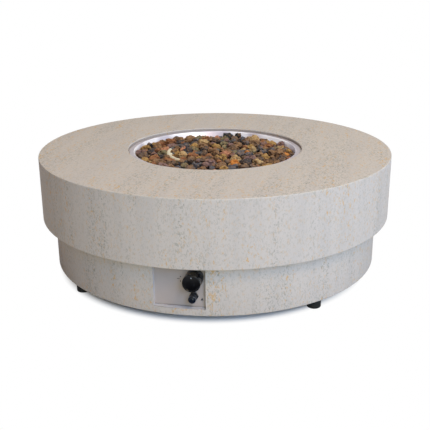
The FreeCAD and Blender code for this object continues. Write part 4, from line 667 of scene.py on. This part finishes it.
@dataclass(frozen=True)
class LavaRock:
    """Porous lava rock. Each stone brings its own tint as an attribute, or the finish has one of its own."""

    name: str
    tint: Colour | None = None
    gap_shade_from: float = 0.35
    gap_shade_to: float = -0.5
    rusty: Clouds = Clouds(95.0, 0.46, 0.66, 4.0, 0.65)
    sooty: Clouds = Clouds(150.0, 0.5, 0.66, 3.0)
    rust: Colour = shade(192, 138, 84)
    dark_tone: Colour = shade(50, 38, 34)
    patch_strength: float = 0.34
    top_painted_light: float = 0.34
    foot_shade: float = 0.6
    pore_shade: Colour = shade(40, 30, 30)
    pore_shade_strength: float = 0.35
    gap_shade_colour: Colour = shade(22, 14, 15)
    gap_shade_strength: float = 0.9

    def material(self) -> bpy.types.Material:
        """Makes the material, with painted shade towards each stone's foot and on faces that look down, and painted
        light on faces that look up.

        Returns:
            The material.
        """
        weave = Weave(self.name)
        spot = weave.place()
        colour: Any = self.tint or weave.attribute("tint", "Color")
        colour = weave.blend(self.rusty.over(weave, spot) * self.patch_strength, colour, self.rust)
        colour = weave.blend(self.sooty.over(weave, spot) * self.patch_strength, colour, self.dark_tone)
        facing = weave.axes(weave.place("Normal"))[2]
        # Painted light on faces that look up, and painted shade on faces that look down
        colour = weave.blend(facing.above(0.35, 0.95) * self.top_painted_light, colour, colour, "SCREEN")
        colour = weave.blend(facing.below(-0.3, 0.5) * self.foot_shade, colour, colour, "MULTIPLY")
        # Painted shade: the pits of the pores are darkened
        pores = weave.cells(spot, 340.0).above(0.08, 0.42)
        colour = weave.blend((1.0 - pores) * self.pore_shade_strength, colour, self.pore_shade)
        if self.tint is None:
            # Painted shade: each stone darkens towards its foot, where it meets its neighbours
            height = (weave.axes(spot)[2] - weave.attribute("level")) / weave.attribute("reach")
            gap_shade = height.below(self.gap_shade_to, self.gap_shade_from)
            colour = weave.blend(gap_shade * self.gap_shade_strength, colour, self.gap_shade_colour)
        crumbs = weave.noise(spot, 420.0, 4.0, 0.7)
        normal = weave.bump(pores * 0.5 + crumbs, 0.9, 1.6 * MM)
        return weave.finish(Base_Color=colour, Roughness=0.92, Normal=normal)


class Garden(Loom):
    """A Geometry Nodes tree while it is built."""

    def __init__(self, name: str, dials: dict[str, str]) -> None:
        """Starts a tree with a geometry output, a geometry input and other named inputs.

        Args:
            name: The tree's name.
            dials: The socket types of the other inputs, by the inputs' names.
        """
        tree = bpy.data.node_groups.new(name, "GeometryNodeTree")
        tree.interface.new_socket("Geometry", in_out="OUTPUT", socket_type="NodeSocketGeometry")
        for dial, kind in {"Geometry": "NodeSocketGeometry", **dials}.items():
            tree.interface.new_socket(dial, in_out="INPUT", socket_type=kind)
        super().__init__(tree, "NodeGroupOutput")

    def given(self, name: str) -> Flow:
        """One of the tree's inputs."""
        return self.add("NodeGroupInput", {}, {}, name)

    def grow(self, host: bpy.types.Object, name: str, dials: dict[str, Any]) -> bpy.types.Object:
        """Runs the tree on an object and keeps the result as a plain mesh piece.

        Args:
            host: The object that carries the points. It is removed.
            name: The piece's name.
            dials: Values for the named inputs.

        Returns:
            The piece.
        """
        modifier = host.modifiers.new(name, "NODES")
        modifier.node_group = self.tree
        for socket in self.tree.interface.items_tree:
            if socket.in_out == "INPUT" and socket.name in dials:
                modifier[socket.identifier] = dials[socket.name]
        graph = bpy.context.evaluated_depsgraph_get()
        mesh = bpy.data.meshes.new_from_object(host.evaluated_get(graph), depsgraph=graph)
        mesh.name = name
        bpy.data.objects.remove(host)
        return in_scene(name, mesh)


@dataclass
class PlacedStone:
    """One lava rock: where its middle is, how large it is, which way it lies and its tint."""

    spot: Vector
    half: Vector
    turn: tuple[float, float, float]
    tint: StoneTint
    reach: float
    shape: int


@dataclass
class LavaHeap:
    """The heap of loose lava rock in the pan, with a bare stretch of the burner ring on its left."""

    pan_radius: float = 0.2465
    bed_level: float = 0.3319
    ring_radius: float = 0.144
    ring_level: float = 0.3403
    tube_radius: float = 0.00635
    bare_from: float = 179.0
    bare_to: float = 236.0
    top_limit: float = 0.3594
    crown_level: float = 0.3552
    crown_fall: float = 0.0035
    back_fall: float = 0.015
    wall_share: float = 0.92
    tube_share: float = 0.58
    most_lean: float = 0.3
    ring_step: int = 5
    ring_closeness: float = 0.7
    ring_cover_level: float = 0.3535
    ring_cover_reach: Pair = (0.009, 0.0125)
    near_ring: float = 0.034
    seed: int = 7
    fine_shapes: int = 4
    rough_shapes: int = 3
    fine_reach: float = 0.0112
    ball_radius: float = 1.06
    cuts: int = 10
    cut_depths: Pair = (0.62, 0.9)
    width_share: float = 0.86
    lumpiness: float = 0.9
    crumble: float = -0.35
    chosen_growth: float = 1.18
    # Tint, place across and back, half width, half height and top of each stone, in millimetres
    chosen: tuple[tuple[StoneTint, float, float, float, float, float], ...] = (
        (StoneTint.SAND, 90, 203, 23, 22, 359), (StoneTint.SALMON, -31, 196, 16, 13, 350),
        (StoneTint.OLIVE, -96, 178, 14, 14, 352), (StoneTint.RUST, -68, 186, 14, 12, 348),
        (StoneTint.COAL, 4, 222, 19, 13, 357), (StoneTint.COAL, 36, 223, 13, 14, 359),
        (StoneTint.OCHRE, 27, 192, 13, 12, 351), (StoneTint.OCHRE, -133, 168, 17, 8, 345),
        (StoneTint.RUST, -163, 120, 14, 12, 348), (StoneTint.PLUM, -26, 97, 16, 12, 353),
        (StoneTint.SLATE, -114, 62, 16, 11, 352), (StoneTint.BROWN, -133, 34, 12, 12, 352),
        (StoneTint.BROWN, -221, -14, 17, 14, 350), (StoneTint.RUST, -165, -98, 18, 13, 352),
        (StoneTint.UMBER, -104, -160, 18, 11, 352), (StoneTint.BROWN, -49, -111, 16, 12, 353),
        (StoneTint.SLATE, -25, -170, 19, 10, 353), (StoneTint.PLUM, 11, -144, 17, 14, 356),
        (StoneTint.BROWN, 50, -168, 19, 11, 354), (StoneTint.AMBER, 86, -134, 15, 14, 356),
        (StoneTint.CHARCOAL, 116, -124, 18, 13, 356), (StoneTint.SAND, 150, -104, 16, 12, 355),
        (StoneTint.BROWN, 176, -84, 17, 11, 353), (StoneTint.AMBER, 219, 10, 12, 11, 351),
        (StoneTint.AMBER, 100, 7, 8, 8, 352), (StoneTint.AMBER, 159, -23, 8, 8, 352),
        (StoneTint.SALMON, 41, -25, 17, 10, 353), (StoneTint.PLUM, 186, 149, 16, 11, 348),
        (StoneTint.SAND, 82, 31, 12, 16, 355), (StoneTint.SLATE, 143, 12, 12, 11, 352),
        (StoneTint.OLIVE, 10, 105, 16, 11, 353), (StoneTint.CHARCOAL, 210, -46, 13, 9, 350),
    )
    # Smallest and largest reach, tries, closeness and lift of each round
    rounds: tuple[tuple[float, float, int, float, float], ...] = (
        (0.0148, 0.0205, 1500, 0.86, 0.0), (0.0108, 0.0142, 3800, 0.82, -0.0015), (0.0072, 0.01, 4200, 0.76, -0.009))
    stones: list[PlacedStone] = field(default_factory=list)

    def __post_init__(self) -> None:
        """Makes the dice, and the lots from which a loose stone draws its tint."""
        self.dice = random.Random(self.seed)
        self.lots = [tint for tint in StoneTint for _ in range(tint.lots)]

    def _crown(self, across: float, bearing: float) -> float:
        """How high the heap stands at a place.

        Args:
            across: Distance from the middle in metres.
            bearing: Direction in degrees, counter-clockwise from +X.

        Returns:
            The level of the heap's surface.
        """
        share = across / self.pan_radius
        back = max(0.0, math.sin(math.radians(bearing))) ** 2 * share ** 9
        return self.crown_level - self.crown_fall * share ** 2 - self.back_fall * back

    def _arc_distance(self, spot: Vector) -> float:
        """Distance from a place to the bare stretch of the burner ring, seen from above.

        Args:
            spot: The place.

        Returns:
            The distance in metres.
        """
        bearing = math.degrees(math.atan2(spot.y, spot.x)) % 360
        if self.bare_from <= bearing <= self.bare_to:
            return abs(math.hypot(spot.x, spot.y) - self.ring_radius)
        ends = (at_bearing(1.0, end).to_2d() * self.ring_radius for end in (self.bare_from, self.bare_to))
        return min((spot.to_2d() - end).length for end in ends)

    def _fits(self, spot: Vector, reach: float, closeness: float) -> bool:
        """Whether a stone has room among those laid so far.

        Args:
            spot: Where its middle would be, seen from above.
            reach: How far it reaches from there.
            closeness: The least distance to another stone, as a share of what both reach.

        Returns:
            True if it has.
        """
        if math.hypot(spot.x, spot.y) > self.pan_radius - reach * self.wall_share:
            return False
        if self._arc_distance(spot) < self.tube_radius + reach * self.tube_share:
            return False
        return all((stone.spot - spot).to_2d().length >= closeness * (reach + stone.reach) for stone in self.stones)

    def _lay(self, spot: Vector, half: Vector, tint: StoneTint, top: float) -> None:
        """Lays one stone so that its top is at a level, as far as its place allows.

        Args:
            spot: Where its middle is, seen from above.
            half: Half its size along each axis.
            tint: Its colour.
            top: The level.
        """
        near = self._arc_distance(spot)
        if near < self.near_ring:
            top = min(top, self.ring_level + 6 * MM + 0.25 * near)
        top = min(top, self.top_limit)
        dice, lean = self.dice, self.most_lean
        flip = dice.choice((0.0, math.pi))
        turn = (flip + dice.uniform(-lean, lean), dice.uniform(-lean, lean), dice.uniform(0.0, math.tau))
        spot = Vector((spot.x, spot.y, max(top - half.z, self.bed_level - 0.6 * half.z)))
        reach = (half.x + half.y) / 2
        fine = reach >= self.fine_reach
        shape = dice.randrange(self.fine_shapes) if fine else self.fine_shapes + dice.randrange(self.rough_shapes)
        self.stones.append(PlacedStone(spot, half, turn, tint, reach, shape))

    def _cover_ring(self) -> None:
        """Lays stones on the burner ring, all the way round except on the bare stretch."""
        dice = self.dice
        for step in range(0, 360, self.ring_step):
            spot = at_bearing(1.0, (self.bare_to + step) % 360) * self.ring_radius
            reach = dice.uniform(*self.ring_cover_reach)
            if self._fits(spot, reach, self.ring_closeness):
                half = Vector((reach * 1.1, reach * 0.95, reach * 0.8))
                tint = dice.choice(self.lots)
                self._lay(spot, half, tint, self.ring_cover_level + dice.uniform(-0.002, 0.004))

    def fill(self) -> None:
        """Lays the chosen stones first, then ever smaller ones between them."""
        for tint, across, back, half, tall, top in self.chosen:
            size = Vector((half, half * self.width_share, tall)) * self.chosen_growth * MM
            self._lay(Vector((across * MM, back * MM, 0.0)), size, tint, top * MM)
        self._cover_ring()
        dice = self.dice
        for smallest, largest, tries, closeness, lift in self.rounds:
            for _ in range(tries):
                reach = dice.uniform(smallest, largest)
                across = (self.pan_radius - reach * 0.9) * math.sqrt(dice.random())
                bearing = dice.uniform(0.0, 360.0)
                spot = at_bearing(across, bearing)
                if not self._fits(spot, reach, closeness):
                    continue
                long = dice.uniform(1.0, 1.3)
                half = Vector((reach * long, reach / long ** 0.5, reach * dice.uniform(0.72, 1.0)))
                top = self._crown(across, bearing) + lift + dice.uniform(-0.005, 0.005)
                self._lay(spot, half, dice.choice(self.lots), top)

    def _points(self) -> bpy.types.Object:
        """Makes one point for each stone, with its size, turn, tint and shape as attributes.

        Returns:
            The object that carries the points.
        """
        mesh = bpy.data.meshes.new("lava_points")
        mesh.from_pydata([stone.spot for stone in self.stones], [], [])
        for name, kind, member, flat in (
                ("half", "FLOAT_VECTOR", "vector", [part for stone in self.stones for part in stone.half]),
                ("turn", "FLOAT_VECTOR", "vector", [part for stone in self.stones for part in stone.turn]),
                ("tint", "FLOAT_COLOR", "color", [part for s in self.stones for part in (*s.tint.colour, 1.0)]),
                ("reach", "FLOAT", "value", [stone.reach for stone in self.stones]),
                ("level", "FLOAT", "value", [stone.spot.z for stone in self.stones]),
                ("shape", "INT", "value", [stone.shape for stone in self.stones])):
            mesh.attributes.new(name, kind, "POINT").data.foreach_set(member, flat)
        return in_scene("lava_points", mesh)

    def _rock(self, dice: random.Random, name: str, subdivisions: int) -> bpy.types.Object:
        """One angular rock of unit size: a ball with flat cuts all round.

        Args:
            dice: Where the cuts come from.
            name: The rock's name.
            subdivisions: How fine the ball is.

        Returns:
            The rock as an object that is in no scene.
        """
        ball = bmesh.new()
        bmesh.ops.create_icosphere(ball, subdivisions=subdivisions, radius=self.ball_radius)
        for _ in range(self.cuts):
            aim = Vector((dice.gauss(0, 1), dice.gauss(0, 1), dice.gauss(0, 1))).normalized()
            depth = dice.uniform(*self.cut_depths)
            for corner in ball.verts:
                over = corner.co.dot(aim) - depth
                if over > 0:
                    corner.co -= aim * over
        mesh = bpy.data.meshes.new(name)
        ball.to_mesh(mesh)
        ball.free()
        return bpy.data.objects.new(name, mesh)

    def _rocks(self) -> bpy.types.Collection:
        """Makes the few shapes that the heap's stones are made from, the finer ones first.

        Returns:
            The shapes.
        """
        dice = random.Random(self.seed + 1)
        shapes = bpy.data.collections.new("rock_shapes")
        for number in range(self.fine_shapes + self.rough_shapes):
            subdivisions = 3 if number < self.fine_shapes else 2
            shapes.objects.link(self._rock(dice, f"rock_{number}", subdivisions))
        return shapes

    def _tree(self, finish: bpy.types.Material) -> Garden:
        """Makes the tree that puts a rough stone on each point.

        Args:
            finish: The stones' material.

        Returns:
            The tree.
        """
        garden = Garden("lava_heap", {
            "Shapes": "NodeSocketCollection", "Lumpiness": "NodeSocketFloat", "Crumble": "NodeSocketFloat"})
        shapes = garden.add("GeometryNodeCollectionInfo", {}, {
            "Collection": garden.given("Shapes"), "Separate Children": True, "Reset Children": True})
        turn, half, reach, shape = (
            garden.add("GeometryNodeInputNamedAttribute", {"data_type": kind}, {"Name": name})
            for name, kind in (("turn", "FLOAT_VECTOR"), ("half", "FLOAT_VECTOR"), ("reach", "FLOAT"),
                               ("shape", "INT")))
        laid = garden.add("GeometryNodeInstanceOnPoints", {}, {
            "Points": garden.given("Geometry"), "Instance": shapes, "Pick Instance": True,
            "Instance Index": shape, "Rotation": turn, "Scale": half})
        solid = garden.add("GeometryNodeRealizeInstances", {}, {"Geometry": laid})
        spot = garden.add("GeometryNodeInputPosition", {}, {})
        normal = garden.add("GeometryNodeInputNormal", {}, {})
        lumps = garden.add("ShaderNodeTexNoise", {}, {"Vector": spot, "Scale": 85.0, "Detail": 2.0, "Roughness": 0.6})
        facets = garden.add("ShaderNodeTexVoronoi", {}, {"Vector": spot, "Scale": 120.0}, "Distance")
        raised = (lumps - 0.5) * garden.given("Lumpiness") + (facets - 0.45) * garden.given("Crumble")
        offset = garden.add("ShaderNodeVectorMath", {"operation": "SCALE"}, {0: normal, "Scale": raised * reach})
        moved = garden.add("GeometryNodeSetPosition", {}, {"Geometry": solid, "Offset": offset})
        garden.close(garden.add("GeometryNodeSetMaterial", {}, {"Geometry": moved, "Material": finish}))
        return garden

    def build(self) -> bpy.types.Object:
        """Makes the heap.

        Returns:
            The heap as one piece.
        """
        self.fill()
        shapes = self._rocks()
        garden = self._tree(LavaRock("lava_rock").material())
        heap = garden.grow(self._points(), "lava_heap", {
            "Shapes": shapes, "Lumpiness": self.lumpiness, "Crumble": self.crumble})
        for rock in list(shapes.objects):
            bpy.data.objects.remove(rock)
        bpy.data.collections.remove(shapes)
        low, high = self.bed_level - 2 * MM, self.top_limit
        for corner in heap.data.vertices:
            spot = corner.co
            spot.z = min(max(spot.z, low), high)
            across = math.hypot(spot.x, spot.y)
            if across > self.pan_radius:
                spot.x *= self.pan_radius / across
                spot.y *= self.pan_radius / across
        heap.data.polygons.foreach_set("use_smooth", [False] * len(heap.data.polygons))
        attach(heap, BODY)
        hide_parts("lava_stones")
        return heap


@dataclass
class PanelMarks:
    """Plain printed marks on the control panel: a dot and two ticks beside the knob, and a flame by the igniter."""

    face: float = -0.478
    raised: float = 0.2 * MM
    sunk: float = 0.05 * MM
    dots: tuple[Spot, ...] = ((0.0013, 0.1297, 0.0016),)
    dot_sides: int = 16
    ticks: tuple[tuple[float, float, float, float], ...] = (
        (-0.0045, 0.1235, 0.0035, 0.0007), (0.0013, 0.117, 0.0008, 0.003))
    flame_spot: Pair = (0.0578, 0.0685)
    flame: tuple[Pair, ...] = (
        (-2.2, -4.5), (-3.6, -2.4), (-3.0, 0.2), (-1.2, 2.2), (-0.4, 5.0), (1.4, 3.2), (2.8, 0.8), (3.6, -1.8),
        (2.4, -4.5), (1.5, -2.2), (0.0, -0.6), (-1.3, -2.2))

    def _outlines(self) -> list[list[Pair]]:
        """Lists the marks as outlines, counter-clockwise, in metres across and up.

        Returns:
            The outlines.
        """
        outlines = []
        for across, up, radius in self.dots:
            angles = [math.tau * step / self.dot_sides for step in range(self.dot_sides)]
            outlines.append([(across + radius * math.cos(a), up + radius * math.sin(a)) for a in angles])
        for across, up, half, tall in self.ticks:
            outlines.append([(across - half, up - tall), (across + half, up - tall),
                             (across + half, up + tall), (across - half, up + tall)])
        across, up = self.flame_spot
        outlines.append([(across + x * MM, up + z * MM) for x, z in reversed(self.flame)])
        return outlines

    def build(self) -> bpy.types.Object:
        """Makes the marks.

        Returns:
            The marks as one piece.
        """
        corners: list[Spot] = []
        faces: list[list[int]] = []
        for outline in self._outlines():
            first, count = len(corners), len(outline)
            for depth in (self.face - self.raised, self.face + self.sunk):
                corners += [(across, depth, up) for across, up in outline]
            faces.append([first + place for place in range(count)])
            faces.append([first + count + place for place in reversed(range(count))])
            for place in range(count):
                after = (place + 1) % count
                faces.append([first + place, first + count + place, first + count + after, first + after])
        ink = Moulded("panel_ink", shade(70, 66, 70), 0.6, 900.0, 0.01 * MM).material()
        piece = flat_piece("panel_marks", corners, faces, ink)
        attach(piece, BODY)
        return piece


@dataclass
class CoilSpring:
    """A packed coil spring that shortens as its joint is pushed in."""

    node: bpy.types.Object
    joint: str
    stroke: float
    seat: float

    def build(self) -> bpy.types.Object:
        """Gives the coil its own copy of its mesh.

        Returns:
            The spring.
        """
        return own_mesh(self.node)


class Finishes:
    """All the finishes, and which node takes which."""

    def __init__(self) -> None:
        """Lists the finishes by the nodes that take them."""
        groups: tuple[tuple[Any, str], ...] = (
            (CastStone(), "tabletop base_drum"),
            (RolledSheet("bright_stainless", shade(174, 163, 167), shade(252, 247, 250), shade(196, 186, 198)),
             "burner_pan"),
            (Metal("dull_stainless", shade(188, 186, 186), 0.34), "heat_shield"),
            (BurnerTube("heated_burner_tube", shade(232, 218, 186), shade(48, 38, 32), 177.0, 241.0), "burner_ring"),
            (Metal("zinc_plate", shade(178, 180, 184), 0.36),
             "foot_bolts top_brackets bracket_screws shield_studs shield_spacers shield_nuts panel_screws line_clips "
             "clip_screws electrode_bracket station_fixings burner_locknuts burner_nipple valve_nut air_mixer"),
            (Metal("spring_wire", shade(186, 186, 186), 0.28), "stem_spring button_spring electrode_wire thermocouple"),
            (Metal("machined_brass", shade(198, 160, 92), 0.3),
             "foot_inserts bracket_inserts orifice_elbow valve_rotor valve_stem inlet_union inlet_locknut inlet_elbow "
             "supply_nuts feed_nuts"),
            (Metal("plain_aluminium", shade(192, 194, 196), 0.38), "valve_body supply_line feed_tube"),
            (Metal("copper_sheath", shade(184, 112, 84), 0.35), "thermocouple_lead"),
            (Moulded("foot_rubber", shade(22, 22, 23), 0.7, 700.0, 0.1 * MM),
             "foot_rear_right foot_rear_left foot_front_left foot_front_right table_pads lead_grommet"),
            (Moulded("pressed_fibre", shade(196, 190, 176), 0.9, 500.0, 0.2 * MM), "pan_gasket"),
            (PanelPaint("panel_paint", shade(168, 156, 152), shade(84, 76, 72)), "control_panel"),
            (Moulded("black_satin_plastic", shade(9, 9, 13), 0.12, 1400.0, 0.004 * MM, 0.3), "control_knob"),
            (Moulded("black_gloss_plastic", shade(16, 24, 38), 0.14, 1400.0, 0.01 * MM, 0.8),
             "knob_bezel igniter_nut igniter_cap igniter_body igniter_button"),
            (Moulded("white_marking", shade(158, 158, 162), 0.4), "knob_pointer"),
            (Moulded("wrapped_cell", shade(60, 66, 74), 0.3), "igniter_battery"),
            (Moulded("white_ceramic", shade(236, 232, 224), 0.45), "electrode_ceramic"),
            (Moulded("red_silicone", shade(150, 40, 28), 0.5), "ignition_lead"),
            # The bed under the loose stones is dark brown: painted shade of the deep gaps between them
            (LavaRock("lava_bed", shade(52, 40, 34)), "lava_bed"),
            (LavaRock("lava_stone", shade(132, 94, 70)), "lava_stones"),
        )
        self.by_node = {name: finish for finish, names in groups for name in names.split()}

    def dress(self, nodes: dict[str, bpy.types.Object]) -> None:
        """Gives every node its finish.

        Args:
            nodes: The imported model's objects by name.
        """
        made: dict[str, bpy.types.Material] = {}
        for name, node in nodes.items():
            finish = self.by_node[name]
            if finish.name not in made:
                made[finish.name] = finish.material()
            for slot in node.material_slots:
                slot.material = made[finish.name]
            LOG.info("%s: %s", name, finish.name)


@dataclass(frozen=True)
class Lamp:
    """A soft round lamp: where it hangs, its width in metres, its power in watts, its colour and what it lights."""

    name: str
    spot: Spot
    width: float
    power: float
    colour: Colour
    aim: Spot = (0.0, 0.0, 0.2)

    def build(self) -> None:
        """Makes the lamp."""
        data = bpy.data.lights.new(self.name, "AREA")
        data.shape = "DISK"
        data.size = self.width
        data.energy = self.power
        data.color = self.colour
        lamp = in_scene(self.name, data)
        lamp.location = self.spot
        lamp.rotation_mode = "QUATERNION"
        lamp.rotation_quaternion = (Vector(self.aim) - Vector(self.spot)).to_track_quat("-Z", "Y")


@dataclass
class Studio:
    """Plain pale floor, soft lights and the camera at the photograph's place."""

    camera_spot: Spot = (0.4279, -2.1668, 0.8983)
    heading: float = 11.2
    pitch: float = 19.05
    roll: float = 0.379
    lens: float = 61.23
    sensor: float = 36.0
    floor_half: float = 14.0
    floor_grey: Colour = (0.84, 0.84, 0.85)
    shadow_from: float = 0.45
    shadow_to: float = 0.492
    shadow_shift: float = 0.008
    mirror_from: float = 0.828
    mirror_to: float = 0.844
    mirrored_shadow: float = 0.02
    mirror_bright: float = 0.95
    glow: Colour = (1.0, 0.3, 0.28)
    glow_strength: float = 0.07
    lamps: tuple[Lamp, ...] = (
        Lamp("key", (1.5, -2.3, 2.8), 1.2, 40.5, (1.0, 0.78, 0.53)),
        Lamp("key_fill", (1.6, -3.0, 1.7), 1.5, 56.0, (0.36, 0.61, 1.0)),
        Lamp("overhead", (0.3, 0.3, 3.2), 2.4, 47.5, (0.92, 1.0, 0.97), (0.0, 0.0, 0.3)),
        Lamp("right", (3.2, 0.2, 1.0), 1.6, 35.5, (0.62, 0.83, 1.0)),
        Lamp("front", (0.4, -3.5, 0.5), 2.0, 19.5, (0.92, 1.0, 0.5)))

    def camera(self) -> None:
        """Makes the camera."""
        turn, dip, lean = (math.radians(angle) for angle in (self.heading, self.pitch, self.roll))
        ahead = Vector((-math.sin(turn) * math.cos(dip), math.cos(turn) * math.cos(dip), -math.sin(dip)))
        right = Vector((math.cos(turn), math.sin(turn), 0.0))
        up = right.cross(ahead)
        across = math.cos(lean) * right - math.sin(lean) * up
        rise = math.sin(lean) * right + math.cos(lean) * up
        data = bpy.data.cameras.new("camera")
        data.lens = self.lens
        data.sensor_width = self.sensor
        data.clip_start = 0.1
        data.clip_end = 60.0
        eye = in_scene("camera", data)
        frame = Matrix((across, rise, -ahead)).transposed().to_4x4()
        eye.matrix_world = Matrix.Translation(Vector(self.camera_spot)) @ frame
        bpy.context.scene.camera = eye

    def floor(self) -> None:
        """Makes the floor, white to the camera but for the table's shadow, and in shiny pieces a painted shadow near
        the table.
        """
        weave = Weave("studio_floor")
        east, north, _ = weave.axes(weave.place())
        aside = east + self.shadow_shift
        reach = (aside * aside + north * north) ** 0.5
        weave.finish(Base_Color=self.floor_grey, Roughness=1.0, Specular_IOR_Level=0.0)
        white, bright, dim = (weave.add("ShaderNodeEmission", {}, {"Strength": strength})
                              for strength in (1.0, self.mirror_bright, self.mirrored_shadow))
        seen = weave.mixed(reach.above(self.shadow_from, self.shadow_to), weave.surface, white)
        # Painted shadow: shiny pieces see the floor dark near the table and glowing white beyond it
        mirrored = weave.mixed(reach.above(self.mirror_from, self.mirror_to), dim, bright)
        other = weave.mixed(weave.ray("Is Glossy Ray"), weave.surface, mirrored)
        weave.close(weave.mixed(weave.ray("Is Camera Ray"), other, seen))
        far = self.floor_half
        corners = [(-far, -far, 0.0), (far, -far, 0.0), (far, far, 0.0), (-far, far, 0.0)]
        flat_piece("studio_floor", corners, [(0, 1, 2, 3)], weave.material)

    def sky(self) -> None:
        """Makes the world, which glows dimly on the table and is white to the camera and to shiny metal."""
        world = bpy.data.worlds.new("studio")
        bpy.context.scene.world = world
        world.use_nodes = True
        loom = Loom(world.node_tree, "ShaderNodeOutputWorld")
        ambient = loom.add("ShaderNodeBackground", {}, {"Color": self.glow, "Strength": self.glow_strength})
        white = loom.add("ShaderNodeBackground", {}, {"Color": (1.0, 1.0, 1.0)})
        seen = loom.ray("Is Camera Ray").most(loom.ray("Is Glossy Ray"))
        loom.close(loom.mixed(seen, ambient, white))

    def build(self) -> None:
        """Sets up the whole studio."""
        bpy.context.scene.view_settings.view_transform = "Standard"
        self.camera()
        self.floor()
        for lamp in self.lamps:
            lamp.build()
        self.sky()


def main() -> None:
    """Builds the studio and dresses the table."""
    logging.basicConfig(level=logging.INFO, format="%(name)s: %(message)s")
    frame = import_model()
    Studio().build()
    Finishes().dress(frame["nodes"])
    heap = LavaHeap()
    heap.build()
    LOG.info("lava heap: %d stones", len(heap.stones))
    LOG.info("marks: %s", PanelMarks().build().name)
    for joint in frame["joints"]:
        for coil in joint.get("deforming_nodes", []):
            spring = CoilSpring(frame["nodes"][coil["node"]], joint["name"], joint["range_m"][1],
                                coil["fixed_end_y_m"])
            LOG.info("spring: %s", spring.build().name)


if __name__ == "__main__":
    main()
